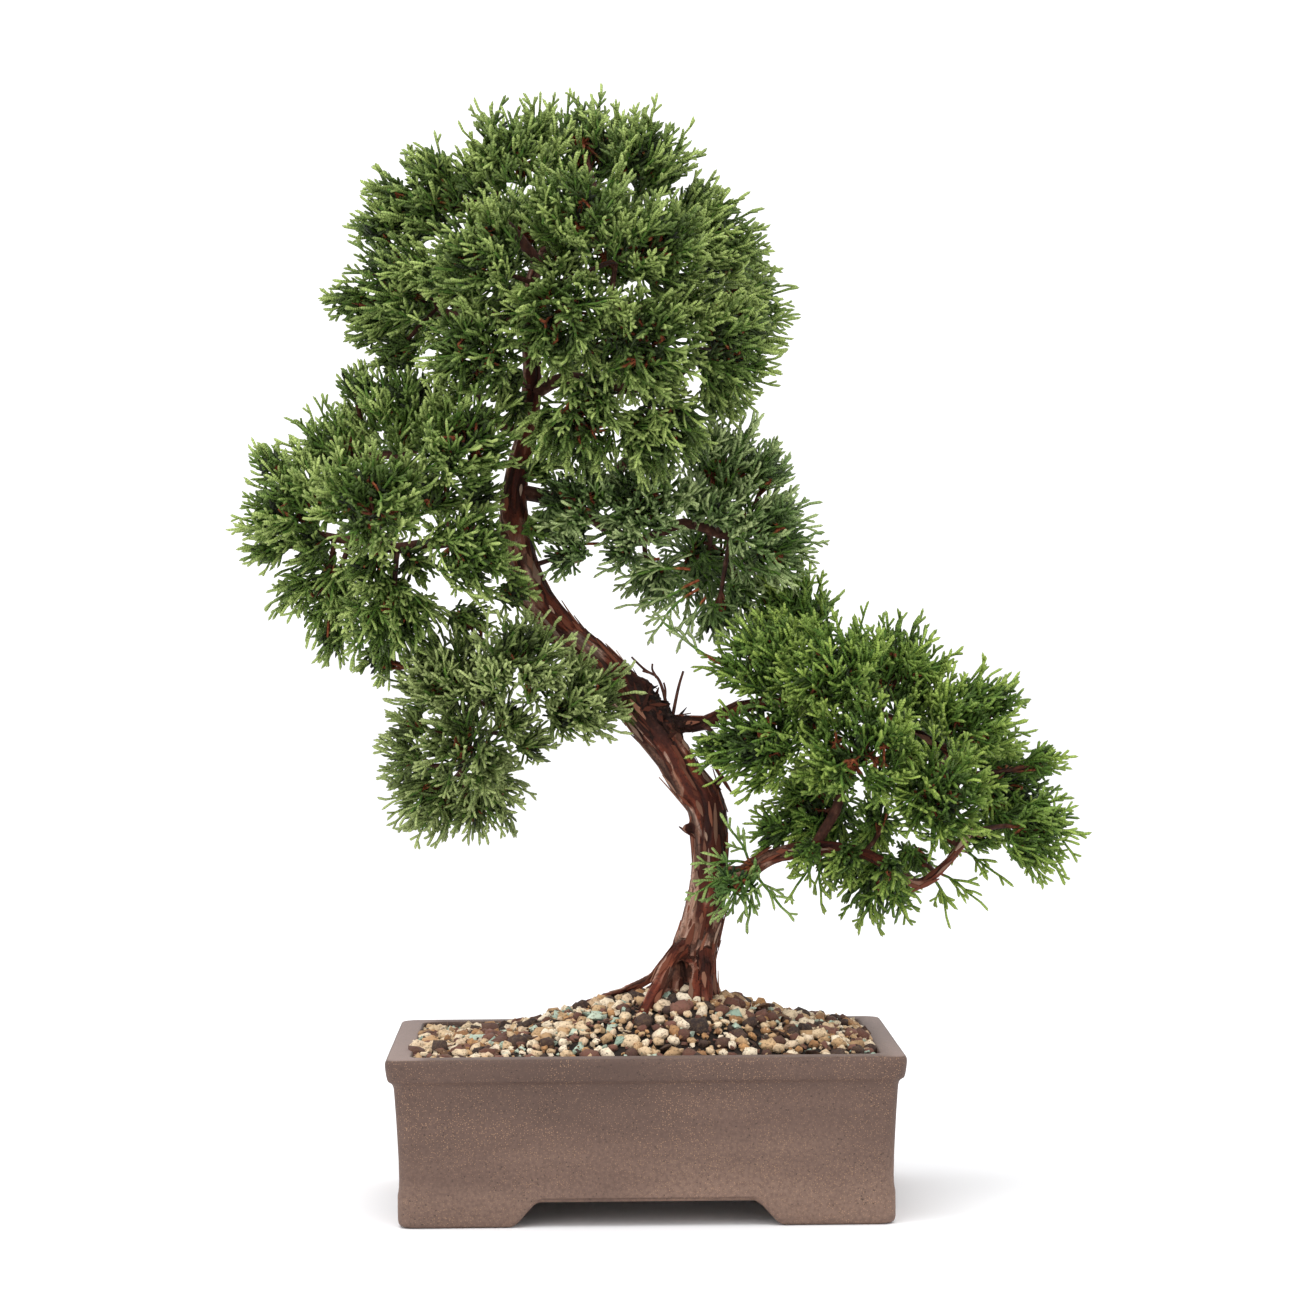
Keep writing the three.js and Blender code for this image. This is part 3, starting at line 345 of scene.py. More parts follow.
class Tree:
    """One node tree, which node() adds to."""

    def __init__(self, nodes):
        self.nodes = nodes

    def node(self, kind, sockets=(), output=0, stops=(), **settings):
        made = self.nodes.nodes.new(kind)
        for name, value in settings.items():
            setattr(made, name, value)
        if stops:
            ramp = made.color_ramp
            ramp.elements.remove(ramp.elements[1])
            ramp.elements[0].position = stops[0][0]
            ramp.elements[0].color = linear(stops[0][1])
            for place, code in stops[1:]:
                ramp.elements.new(place).color = linear(code)
        for key, value in dict(sockets).items():
            if isinstance(value, Wire):
                self.nodes.links.new(value.socket, made.inputs[key])
            else:
                made.inputs[key].default_value = value
        return Wire(self, made.outputs[output])

    def place(self, source="Object", stretch=(1, 1, 1)):
        """Where a pattern is read: coordinates of the object, or an attribute."""
        if source == "Object":
            wire = self.node("ShaderNodeTexCoord", output=source)
        else:
            wire = self.node("ShaderNodeAttribute", attribute_name=source, output="Vector")
        return self.node("ShaderNodeMapping", {"Vector": wire, "Scale": stretch})

    def noise(self, where, scale, detail=3.0, roughness=0.55):
        values = {"Vector": where, "Scale": scale, "Detail": detail, "Roughness": roughness}
        return self.node("ShaderNodeTexNoise", values)

    def cells(self, where, scale, output="Distance"):
        return self.node("ShaderNodeTexVoronoi", {"Vector": where, "Scale": scale}, output)

    def facing(self, axis):
        """How far a surface looks along x, y or z."""
        return self.axis(self.node("ShaderNodeNewGeometry", output="Normal"), axis)

    def axis(self, vector, axis):
        return self.node("ShaderNodeSeparateXYZ", {0: vector}, axis)

    def value(self, attribute):
        return self.node("ShaderNodeAttribute", attribute_name=attribute, output="Fac")

    def mix(self, share, first, second):
        return self.node("ShaderNodeMix", {0: share, 6: first, 7: second}, 2, data_type="RGBA")

    def ramp(self, share, *stops):
        return self.node("ShaderNodeValToRGB", {0: share}, stops=stops)

    def bump(self, height, distance, strength=1.0):
        values = {"Height": height, "Distance": distance, "Strength": strength}
        return self.node("ShaderNodeBump", values)

    def read(self, name, data_type="FLOAT"):
        """An attribute of the geometry that the nodes work on."""
        return self.node("GeometryNodeInputNamedAttribute", {"Name": name}, data_type=data_type)

    def store(self, geometry, name, value):
        """The geometry with a number kept on each of its points."""
        values = {"Geometry": geometry, "Name": name, "Value": value}
        return self.node("GeometryNodeStoreNamedAttribute", values, data_type="FLOAT", domain="POINT")

    def chance(self, low, high, seed):
        """A number that differs from point to point, or a vector between two of them."""
        if isinstance(low, tuple):
            values = {0: low, 1: high, 8: seed}
            return self.node("FunctionNodeRandomValue", values, data_type="FLOAT_VECTOR")
        return self.node("FunctionNodeRandomValue", {2: low, 3: high, 8: seed}, 1, data_type="FLOAT")

    def turn_to(self, upright, ahead):
        """The turn that puts a shape's z and y along two directions."""
        values = {0: upright, 1: ahead}
        return self.node("FunctionNodeAxesToRotation", values, primary_axis="Z", secondary_axis="Y")

    def vectors(self, operation, values):
        return self.node("ShaderNodeVectorMath", values, operation=operation)


def finish_of(name, paint, **constants):
    """A material: paint(tree) gives the sockets that vary, and constants the rest."""
    made = bpy.data.materials.new(name)
    made.use_nodes = True
    made.node_tree.nodes.clear()
    tree = Tree(made.node_tree)
    sockets = {key.replace("_", " "): value for key, value in constants.items()}
    sockets.update(paint(tree))
    surface = tree.node("ShaderNodeBsdfPrincipled", sockets)
    ending = made.node_tree.nodes.new("ShaderNodeOutputMaterial")
    made.node_tree.links.new(surface.socket, ending.inputs["Surface"])
    return made


def paint_clay(tree):
    where = tree.place()
    broad = tree.noise(where, 9, 2)
    drift = tree.noise(tree.place(stretch=(14, 14, 60)), 1.0, 3)
    grain = tree.noise(where, 620, 2)
    aside = tree.axis(where, "X").math("ABSOLUTE")
    # Painted light: besides the broad and drifting tone, the wall is painted paler towards its foot,
    # standing for light bounced up from the floor
    shade = broad * 0.4 + drift * 0.35 + (1 - tree.axis(where, "Z").rise(0.0, 0.07)) * 0.25
    base = tree.ramp(shade, (0.3, "4e3a31"), (0.5, "634c41"), (0.7, "7a6153"))
    colour = tree.mix(grain.rise(0.35, 0.7) * 0.45, base, linear("4d3a33"))
    for scale, size, share in ((1180, 0.31, 0.5), (1650, 0.35, 0.6)):
        specks = tree.cells(where, scale)
        chosen = tree.node("ShaderNodeSeparateColor", {0: tree.cells(where, scale, "Color")})
        pale = (1 - specks.rise(size * 0.5, size)) * chosen.rise(share, share + 0.2)
        pale = pale * tree.noise(where, 30, 2).rise(0.2, 0.7) * 0.75
        colour = tree.mix(pale, colour, linear("b48d6c"))
    pits = tree.cells(where, 520)
    dark = (1 - pits.rise(0.1, 0.24)) * tree.noise(where, 80, 1).rise(0.45, 0.6)
    colour = tree.mix(dark * 0.7, colour, linear("33261f"))
    # Painted reflection: faces looking up, most of all near the short ends of the rim, are mixed towards a
    # pale grey as if they caught the bright studio
    painted_rim_sheen = tree.facing("Z").rise(0.75, 0.98) * (aside.rise(0.098, 0.107) * 0.35 + 0.12)
    return {
        "Base Color": tree.mix(painted_rim_sheen, colour, linear("a8938c")),
        "Roughness": 0.6 + grain * 0.2,
        "Normal": tree.bump(grain * 0.5 + broad * 0.8 - dark * 0.9, 0.00025, 0.8),
    }


def paint_bark(tree):
    fibres = tree.noise(tree.place("grain", (260, 40, 260)), 1.0, 4, 0.6)
    strips = tree.noise(tree.place("grain", (95, 20, 95)), 1.0, 3, 0.5)
    patches = tree.noise(tree.place("grain", (48, 24, 48)), 1.0, 3, 0.6)
    where = tree.place()
    specks = tree.noise(where, 700, 3, 0.6)
    # Painted light: bark that faces left is pushed towards the pale colour, as the left-front lamp lights
    # that side
    painted_left_light = (tree.facing("X") * -1.0).rise(0.2, 0.9)
    reds = ((0.3, "230e09"), (0.48, "4a2016"), (0.62, "7d3e29"), (0.75, "a8644a"))
    red = tree.ramp(fibres * 0.6 + patches * 0.4, *reds)
    pale = tree.ramp(fibres, (0.3, "432b22"), (0.5, "87604e"), (0.7, "c4a493"))
    colour = tree.mix((patches + painted_left_light * 0.26).rise(0.53, 0.64), red, pale)
    rooted = (1 - tree.axis(where, "Z").rise(0.084, 0.122)) * patches.rise(0.36, 0.5)
    root_red = tree.ramp(fibres, (0.3, "3a1409"), (0.5, "7c3422"), (0.7, "b06a4c"))
    colour = tree.mix(rooted * 0.6, colour, root_red)
    colour = tree.mix(specks.rise(0.5, 0.68) * 0.6, colour, linear("24120d"))
    seam = 1 - (strips - 0.5).math("ABSOLUTE").rise(0.004, 0.06)
    colour = tree.mix(seam * 0.7, colour, linear("190d0a"))
    crust = tree.ramp(tree.noise(where, 420, 4), (0.35, "0c0706"), (0.55, "20130e"), (0.72, "463129"))
    colour = tree.mix(tree.value("burl"), colour, crust)
    moss = tree.value("moss") * tree.noise(where, 500, 3).rise(0.42, 0.55)
    height = fibres * 0.5 + strips * 0.9 + patches * 0.6 + specks * 0.3 - seam * 0.8
    return {
        "Base Color": tree.mix(moss, colour, linear("47621f")),
        "Roughness": 0.62 + fibres * 0.25,
        "Normal": tree.bump(height, 0.0012, 0.9),
    }


def paint_flakes(tree):
    fibres = tree.noise(tree.place("grain", (300, 40, 300)), 1.0, 3, 0.6)
    browns = ((0.0, "160c09"), (0.15, "2c1711"), (0.35, "542b1e"))
    pales = ((0.65, "7d4734"), (0.88, "966c57"), (1.0, "b39c8a"))
    body = tree.ramp(tree.value("tone"), *browns, *pales)
    colour = tree.mix(fibres.rise(0.42, 0.62) * 0.55, body, linear("26150f"))
    return {"Base Color": colour, "Normal": tree.bump(fibres, 0.0006, 0.8)}


def paint_stem(tree):
    """Twigs: green at age 0, reddish at 1, and grey-brown limbs at 2."""
    age = tree.value("age")
    where = tree.place()
    wood = tree.ramp(tree.noise(where, 700, 3), (0.3, "3d1d12"), (0.5, "7c3d22"), (0.7, "a8643c"))
    old = tree.ramp(tree.noise(where, 300, 3), (0.3, "2c1812"), (0.6, "553226"), (0.8, "7c5b4a"))
    wood = tree.mix(age.rise(1.0, 1.6), wood, old)
    green = tree.ramp(tree.noise(where, 500, 2), (0.3, "3a5c20"), (0.7, "6a8c38"))
    return {
        "Base Color": tree.mix(age.rise(0.35, 0.6), green, wood),
        "Normal": tree.bump(tree.noise(where, 900, 2), 0.0004, 0.6),
    }


def paint_shoots(dark, middle, light, tip):
    """Scale leaves: painted shade darkens them deep in a tuft, a painted highlight makes the tips of outer
    shoots pale, and each spray has its own tone.
    """

    def paint(tree):
        along = tree.value("along")
        outward = tree.value("open")
        where = tree.place()
        mottle = tree.noise(where, 900, 2)
        # Painted shade: shoots deep in the tufts, where "open" is low, take the dark colour and outer ones
        # the light colour; random tone and mottle vary it
        tone_and_painted_light = tree.value("tone") * 0.42 + mottle * 0.18 + outward.rise(0.2, 0.92) * 0.5
        body = tree.ramp(tone_and_painted_light, (0.12, dark), (0.5, middle), (0.92, light))
        # Painted highlight: the tips of outer shoots are mixed towards the pale tip colour, as light
        # falling on the outside of the tufts
        colour = tree.mix(along.rise(0.45, 1.25) * outward.rise(0.35, 0.95) * 0.5, body, linear(tip))
        scales = (along * 64.0).math("SINE") * 0.5 + 0.5
        colour = tree.mix(scales * 0.3, colour, linear(dark))
        return {
            "Base Color": colour,
            "Roughness": 0.5 + mottle * 0.2,
            "Normal": tree.bump(scales + mottle * 0.6, 0.0003, 0.8),
        }

    return paint


def paint_gravel(tree):
    """Slivers of bark, and from the numbered pebble shapes on zeolite, lava and pumice."""
    tone = tree.value("tone")
    where = tree.place()
    grain = tree.noise(where, 700, 3)
    pits = tree.cells(where, 1100)
    colour = tree.ramp(tone, (0.0, "1f130f"), (0.5, "4a2e20"), (0.9, "7c5a3f"))
    zeolite = ((0.0, "8fa796"), (0.5, "b3c5b3"), (0.9, "cbd4bf"))
    lava = ((0.0, "231614"), (0.35, "43302a"), (0.65, "643e33"), (0.9, "7a5145"))
    pale = ((0.0, "a5835f"), (0.2, "caa77d"), (0.45, "e4cba8"), (0.7, "f2e2c8"))
    pumice = (*pale, (0.88, "c0915f"), (1.0, "8f6645"))
    for first, stops in ((1, zeolite), (2, lava), (6, pumice)):
        colour = tree.mix(tree.value("kind").rise(*step_at(first)), colour, tree.ramp(tone, *stops))
    shade = (1 - pits.rise(0.15, 0.4)) * grain.rise(0.4, 0.55)
    colour = tree.mix(shade * 0.6, colour, linear("5d4531"))
    return {
        "Base Color": tree.mix(grain.rise(0.4, 0.75) * 0.35, colour, linear("7d6448")),
        "Normal": tree.bump(grain - shade * 0.9, 0.0005, 0.9),
    }


def paint_earth(tree):
    where = tree.place()
    grain = tree.noise(where, 260, 5, 0.7)
    colour = tree.ramp(grain, (0.3, "0c0706"), (0.5, "1d130e"), (0.7, "38271d"))
    return {"Base Color": colour, "Normal": tree.bump(grain, 0.0015, 1.0)}


def paint_screen(tree):
    grain = tree.noise(tree.place(), 300, 3)
    colour = tree.ramp(grain, (0.3, "1b1d20"), (0.7, "2a2e33"))
    return {"Base Color": colour, "Roughness": 0.4 + grain * 0.2}


def paint_floor(tree):
    haze = tree.noise(tree.place(), 0.6, 2)
    return {"Base Color": tree.ramp(haze, (0.0, "f4f4f6"), (1.0, "f8f8fa"))}


CLAY = finish_of("unglazed_clay", paint_clay)
BARK = finish_of("juniper_bark", paint_bark, Specular_IOR_Level=0.2)
FLAKES = finish_of("peeling_bark", paint_flakes, Roughness=0.85, Specular_IOR_Level=0.2)
STEM = finish_of("twig_bark", paint_stem, Roughness=0.8, Specular_IOR_Level=0.3)
GRAVEL = finish_of("mixed_gravel", paint_gravel, Roughness=0.9)
EARTH = finish_of("dark_earth", paint_earth, Roughness=0.95)
SCREEN = finish_of("black_screen", paint_screen)
FLOOR = finish_of("pale_floor", paint_floor, Roughness=0.9)
# Dark, middle, light and tip colours of each pad's leaves; the right pad's are paler, a painted light that
# makes up for the shadow the crown casts on it
LEAVES = {
    "crown": ("161f0c", "58732a", "a9bf66", "cddb8c"),
    "left": ("161f0c", "62802e", "b2c76e", "d6e294"),
    "lower_left": ("1b2511", "70843f", "b3c478", "dbe4a2"),
    "right": ("172111", "73914e", "bccf8a", "dbe7aa"),
    "lower_right": ("15200a", "5a7d27", "a1bc52", "cbd97a"),
    "trunk_sprig": ("22391a", "62853b", "9cb463", "c6d78c"),
}
LEAF = {
    pad: finish_of(f"{pad}_leaves", paint_shoots(*codes), Specular_IOR_Level=0.38)
    for pad, codes in LEAVES.items()
}


def unit(vector):
    return vector / np.linalg.norm(vector)


def add_object(name, data):
    made = bpy.data.objects.new(name, data)
    bpy.context.scene.collection.objects.link(made)
    return made


def shape_of(name, points, faces=(), edges=(), smooth=True):
    """A mesh from places in millimetres."""
    mesh = bpy.data.meshes.new(name)
    mesh.from_pydata((np.asarray(points, float) * MM).tolist(), edges, faces, shade_flat=not smooth)
    return mesh


def mesh_of(name, points, faces=(), edges=()):
    """The same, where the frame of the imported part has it."""
    return shape_of(name, np.asarray(points, float) + SHIFT, faces, edges)


def mark(mesh, **marks):
    """Keeps numbers or vectors on the points of a mesh, under their names."""
    for name, values in marks.items():
        values = np.asarray(values)
        kind, field = "INT" if values.dtype.kind == "i" else "FLOAT", "value"
        if values.ndim > 1:
            kind, field = "FLOAT_VECTOR", "vector"
        mesh.attributes.new(name, kind, "POINT").data.foreach_set(field, values.ravel())


def baked(carrier):
    """The carrier's mesh with its modifiers worked into it; the carrier goes."""
    graph = bpy.context.evaluated_depsgraph_get()
    mesh = bpy.data.meshes.new_from_object(carrier.evaluated_get(graph))
    bpy.data.objects.remove(carrier)
    return mesh


def grown(source, tree, **inputs):
    """The plain mesh that a geometry tree makes of a source mesh."""
    carrier = add_object("carrier", source)
    modifier = carrier.modifiers.new("growth", "NODES")
    modifier.node_group = tree
    for item in tree.interface.items_tree:
        if item.in_out == "INPUT" and item.name in inputs:
            modifier[item.identifier] = inputs[item.name]
    return baked(carrier)


def geometry_tree(name, **inputs):
    """A geometry tree with named inputs, given as (socket kind, value), and their wires."""
    nodes = bpy.data.node_groups.new(name, "GeometryNodeTree")
    nodes.interface.new_socket("Geometry", in_out="INPUT", socket_type="NodeSocketGeometry")
    for label, (kind, value) in inputs.items():
        socket = nodes.interface.new_socket(label, in_out="INPUT", socket_type=f"NodeSocket{kind}")
        if value is not None:
            socket.default_value = value
    nodes.interface.new_socket("Geometry", in_out="OUTPUT", socket_type="NodeSocketGeometry")
    tree = Tree(nodes)
    source = nodes.nodes.new("NodeGroupInput")
    return tree, {s.name: Wire(tree, s) for s in source.outputs if s.name}


def scattered(tree, given, share=1.0):
    """Points over the source mesh, none nearer together than the spacing, fewer where share is low."""
    values = {
        "Mesh": given["Geometry"],
        "Distance Min": given["Spacing"],
        "Density Max": given["Crowding"],
        "Density Factor": share,
        "Seed": given["Seed"],
    }
    return tree.node("GeometryNodeDistributePointsOnFaces", values, distribute_method="POISSON")


def planted(tree, given, points, turn, size, which=None):
    """Ends a geometry tree with a shape on each point: the one numbered which, or each in turn."""
    shapes = {"Collection": given["Shapes"], "Separate Children": True, "Reset Children": True}
    values = {
        "Points": points,
        "Instance": tree.node("GeometryNodeCollectionInfo", shapes),
        "Pick Instance": True,
        "Rotation": turn,
        "Scale": size,
    }
    if which:
        values["Instance Index"] = which
    return closed(tree, given, tree.node("GeometryNodeInstanceOnPoints", values))


def closed(tree, given, geometry):
    """Ends a geometry tree: its finish, instances made real, then the output."""
    covered = tree.node("GeometryNodeSetMaterial", {"Geometry": geometry, "Material": given["Finish"]})
    real = tree.node("GeometryNodeRealizeInstances", {"Geometry": covered})
    output = tree.nodes.nodes.new("NodeGroupOutput")
    tree.nodes.links.new(real.socket, output.inputs[0])
    return tree.nodes


def bezier(points, steps):
    """Points on a smooth curve through 3 or more places, any extra columns running along."""
    given = np.asarray(points, float)
    at = np.linspace(0, len(given) - 1, steps + 1)
    padded = np.vstack([2 * given[0] - given[1], given, 2 * given[-1] - given[-2]])
    left = np.minimum(at.astype(int), len(given) - 2)
    t = (at - left)[:, None]
    a, b, c, d = (padded[left + k] for k in range(4))
    square, cube = 2 * a - 5 * b + 4 * c - d, 3 * b - a - 3 * c + d
    return 0.5 * (2 * b + (c - a) * t + square * t**2 + cube * t**3)


def smoothed(path, steps=8):
    """A smooth curve through a path, in so many steps from place to place."""
    return bezier(path, steps * (len(path) - 1))


def ring_faces(rings, sides):
    """Four-sided faces between closed rings of places, one ring after the other."""
    faces = []
    for low in range(0, (rings - 1) * sides, sides):
        high = low + sides
        for k in range(sides):
            after = (k + 1) % sides
            faces.append((low + k, low + after, high + after, high + k))
    return faces


def tube(path, sides):
    """A closed tube along x, y, z, radius."""
    path = np.asarray(path, float)
    centres = path[:, :3]
    turn = np.array([1.0, 0.2, 0.1])
    points = []
    for i, centre in enumerate(centres):
        along = unit(centres[min(i + 1, len(path) - 1)] - centres[max(i - 1, 0)])
        turn = unit(turn - along * turn.dot(along))
        across = np.cross(along, turn)
        for k in range(sides):
            angle = 2 * math.pi * k / sides
            points.append(centre + path[i, 3] * (turn * math.cos(angle) + across * math.sin(angle)))
    faces = ring_faces(len(path), sides)
    faces.append(tuple(reversed(range(sides))))
    faces.append(tuple(range((len(path) - 1) * sides, len(path) * sides)))
    return points, faces


def gathered(parts):
    """Several (points, faces) as one."""
    points, faces = [], []
    for more_points, more_faces in parts:
        start = len(points)
        points.extend(more_points)
        faces.extend(tuple(k + start for k in face) for face in more_faces)
    return points, faces


def add_piece(name, mesh, slot, *nodes):
    """A finished piece, which stands for the named nodes of the solids."""
    piece = add_object(name, mesh)
    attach(piece, "root")
    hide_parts(*nodes)


# Camera, light and floor come first

def set_camera():
    level = math.cos(CAMERA_DROP)
    aside, ahead = math.sin(CAMERA_HEADING) * level, math.cos(CAMERA_HEADING) * level
    forward = Vector((aside, ahead, -math.sin(CAMERA_DROP)))
    right = forward.cross(Vector((0, 0, 1))).normalized()
    up = right.cross(forward)
    turned_right = right * math.cos(CAMERA_ROLL) - up * math.sin(CAMERA_ROLL)
    turned_up = right * math.sin(CAMERA_ROLL) + up * math.cos(CAMERA_ROLL)
    lens = bpy.data.cameras.new("camera")
    lens.sensor_width = SENSOR_WIDTH
    lens.lens = SENSOR_WIDTH * FOCAL_PIXELS / PICTURE_PIXELS
    lens.clip_end = 100
    matrix = Matrix((turned_right, turned_up, -forward)).transposed().to_4x4()
    matrix.translation = (Vector(CAMERA_PLACE) + Vector(SHIFT)) * MM
    camera = add_object("camera", lens)
    camera.matrix_world = matrix
    bpy.context.scene.camera = camera


def add_light(name, place, target, size, power):
    lamp = bpy.data.lights.new(name, "AREA")
    lamp.shape = "RECTANGLE"
    lamp.size, lamp.size_y = size
    lamp.energy = power
    holder = add_object(name, lamp)
    holder.location = place
    holder.rotation_euler = (Vector(target) - Vector(place)).to_track_quat("-Z", "Y").to_euler()


def set_stage():
    scene = bpy.context.scene
    scene.view_settings.view_transform = "Standard"
    scene.world = bpy.data.worlds.new("studio")
    scene.world.use_nodes = True
    sky = scene.world.node_tree.nodes["Background"].inputs
    sky["Color"].default_value = (1, 1, 1, 1)
    sky["Strength"].default_value = 1.23
    add_light("overhead", (-0.2, -0.5, 1.7), (0, 0, 0.2), (1.4, 1.0), 13)
    add_light("left_front", (-1.5, -1.5, 0.9), (0, 0, 0.25), (1.8, 1.8), 7)
    mesh = bpy.data.meshes.new("floor")
    corners = [(x * FLOOR_REACH, y * FLOOR_REACH, 0) for x, y in ((-1, -1), (1, -1), (1, 1), (-1, 1))]
    mesh.from_pydata(corners, [], [(0, 1, 2, 3)])
    mesh.materials.append(FLOOR)
    add_object("floor", mesh)


# The pot

def arch_height(x, half):
    """How high the pot's foot band is cut away at x from the middle of a side."""
    out = abs(x) - half
    if out <= 0:
        return FOOT_HEIGHT
    if out >= ARCH_FLARE:
        return 0.0
    t = out / ARCH_FLARE
    return FOOT_HEIGHT * (1 - t * t * (3 - 2 * t)) * (1 - 0.12 * math.sin(math.pi * t))


def pot_ring(inset, radius, spacing=2.4, corner_steps=7):
    """Places round the pot's outline, pulled in by inset."""
    half_x, half_y = POT_HALF[0] - inset, POT_HALF[1] - inset
    count_x = int(2 * (POT_HALF[0] - CORNER_RADIUS) / spacing)
    count_y = int(2 * (POT_HALF[1] - CORNER_RADIUS) / spacing)
    ring = []
    for corner in range(4):
        sign_x = 1 if corner in (0, 3) else -1
        sign_y = 1 if corner < 2 else -1
        centre = np.array([sign_x * (half_x - radius), sign_y * (half_y - radius)])
        for step in range(corner_steps + 1):
            angle = math.pi / 2 * (corner + step / corner_steps)
            ring.append(centre + radius * np.array([math.cos(angle), math.sin(angle)]))
        start = ring[-1]
        if corner in (0, 2):
            end = start * np.array([-1, 1])
            count = count_x
        else:
            end = start * np.array([1, -1])
            count = count_y
        ring.extend(start + (end - start) * k / count for k in range(1, count))
    return np.array(ring)


def pot_skin():
    """The pot without its drain holes, from rings that follow its corners and arches."""
    profile = [(inset, radius, lambda cut, z=z: z) for inset, z, radius in POT_RINGS]
    profile += [(inset, CORNER_RADIUS, height) for inset, height in FOOT_RINGS]
    points = []
    for inset, radius, height in profile:
        ring = pot_ring(inset, radius)
        half_x, half_y = POT_HALF[0] - inset, POT_HALF[1] - inset
        for x, y in ring:
            cut = max(
                arch_height(x, ARCH_HALF[0]) if abs(y) > half_y - radius else 0.0,
                arch_height(y, ARCH_HALF[1]) if abs(x) > half_x - radius else 0.0,
            )
            wave = 0.25 * noise.noise(Vector((x, y, height(0) * 0.6)) * 0.03)
            points.append((x * (1 + wave * 0.004), y * (1 + wave * 0.004), height(cut)))
    count = len(ring)
    faces = [(b, a, d, c) for a, b, c, d in ring_faces(len(profile), count)]
    faces.append(tuple(range(count)))
    faces.append(tuple(reversed(range((len(profile) - 1) * count, len(profile) * count))))
    return mesh_of("pot_body", points, faces)


def build_pot():
    carrier = add_object("pot_body", pot_skin())
    carrier.data.materials.append(CLAY)
    holes = bmesh.new()
    radius = DRAIN_RADIUS * MM
    for x in (-DRAIN_SPACING / 2, DRAIN_SPACING / 2):
        place = Matrix.Translation((Vector((x, 0, 20)) + Vector(SHIFT)) * MM)
        sizes = {"segments": 32, "radius1": radius, "radius2": radius, "depth": 30 * MM}
        bmesh.ops.create_cone(holes, cap_ends=True, matrix=place, **sizes)
    drill = bpy.data.meshes.new("drill")
    holes.to_mesh(drill)
    holes.free()
    drill = add_object("drill", drill)
    cut = carrier.modifiers.new("holes", "BOOLEAN")
    cut.operation = "DIFFERENCE"
    cut.solver = "EXACT"
    cut.object = drill
    mesh = baked(carrier)
    bpy.data.objects.remove(drill)
    add_piece("clay_pot", mesh, "clay", "pot")


# The soil and its gravel

def soil_height(x, y):
    xs, zs = zip(*SOIL_CREST)
    crest = np.interp(x, xs, zs)
    across = 1 - min(abs(y) / (POT_HALF[1] - SOIL_INSET), 1) ** 2.2
    return SOIL_EDGE + (crest - SOIL_EDGE) * across


def soil_bed(columns, rows, lift):
    """A lumpy sheet at some height over the mound, as a grid of places."""
    half_x, half_y = POT_HALF[0] - SOIL_INSET, POT_HALF[1] - SOIL_INSET
    grid = []
    for row in range(rows + 1):
        for column in range(columns + 1):
            u = 2 * column / columns - 1
            v = 2 * row / rows - 1
            x = half_x * u * (1 - 0.022 * abs(v) ** 16)
            y = half_y * v * (1 - 0.03 * abs(u) ** 16)
            lump = 1.5 * noise.noise(Vector((x, y, 0)) * 0.06) + 0.8 * noise.noise(Vector((x, y, 5)) * 0.2)
            grid.append((x, y, soil_height(x, y) + lift + lump))
    return grid


def grid_faces(columns, rows):
    wide = columns + 1
    return [
        (r * wide + c, r * wide + c + 1, (r + 1) * wide + c + 1, (r + 1) * wide + c)
        for r in range(rows)
        for c in range(columns)
    ]


def build_earth():
    columns, rows = 60, 40
    points = soil_bed(columns, rows, -1.0)
    faces = grid_faces(columns, rows)
    wide = columns + 1
    edge = list(range(wide))
    edge += [r * wide + columns for r in range(1, rows + 1)]
    edge += [rows * wide + c for c in range(columns - 1, -1, -1)]
    edge += [r * wide for r in range(rows - 1, 0, -1)]
    shrink_x, shrink_y = ((half - SOIL_FOOT_INSET) / (half - SOIL_INSET) for half in POT_HALF)
    low = len(points)
    points += [(points[k][0] * shrink_x, points[k][1] * shrink_y, SOIL_FOOT) for k in edge]
    count = len(edge)
    faces += [(low + i, low + (i + 1) % count, edge[(i + 1) % count], edge[i]) for i in range(count)]
    faces.append(tuple(low + i for i in reversed(range(count))))
    mesh = mesh_of("earth", points, faces)
    mesh.materials.append(EARTH)
    add_piece("earth", mesh, "gravel", "soil")


def stone(seed, stretch, points=15, roughness=0.12, soft=0):
    """A pebble 1 mm in radius: the hull of scattered points, rounded if soft."""
    scatter = np.random.default_rng(seed)
    body = bmesh.new()
    for _ in range(points):
        place = unit(scatter.normal(size=3)) * (1 + roughness * scatter.normal())
        body.verts.new(Vector(place * stretch) * MM)
    bmesh.ops.convex_hull(body, input=body.verts)
    loose = [v for v in body.verts if not v.link_faces]
    bmesh.ops.delete(body, geom=loose, context="VERTS")
    if soft:
        bmesh.ops.subdivide_edges(body, edges=body.edges, cuts=1, use_grid_fill=True, smooth=0.7)
    bmesh.ops.triangulate(body, faces=body.faces)
    bmesh.ops.recalc_face_normals(body, faces=body.faces)
    mesh = bpy.data.meshes.new("stone")
    body.to_mesh(mesh)
    body.free()
    mesh.polygons.foreach_set("use_smooth", [bool(soft)] * len(mesh.polygons))
    return mesh


def sliver(seed, length):
    """A chip of old bark, bent along its length."""
    scatter = np.random.default_rng(seed)
    middle = [(-length * 0.4, 0.1, 0.2, 0.5), (length * 0.4, 0, 0.25, 0.45)]
    points, faces = tube([(-length, 0, 0, 0.15), *middle, (length, 0, 0, 0.1)], 5)
    points = np.array(points) * (1, 1.5, 0.5) + scatter.normal(scale=0.05, size=(len(points), 3))
    return shape_of("sliver", points, faces, smooth=False)


def shape_collection(name, meshes):
    """Shapes to be repeated, in the order of their names."""
    holder = bpy.data.collections.new(name)
    for i, mesh in enumerate(meshes):
        holder.objects.link(bpy.data.objects.new(f"{name}_{i:02d}", mesh))
    return holder


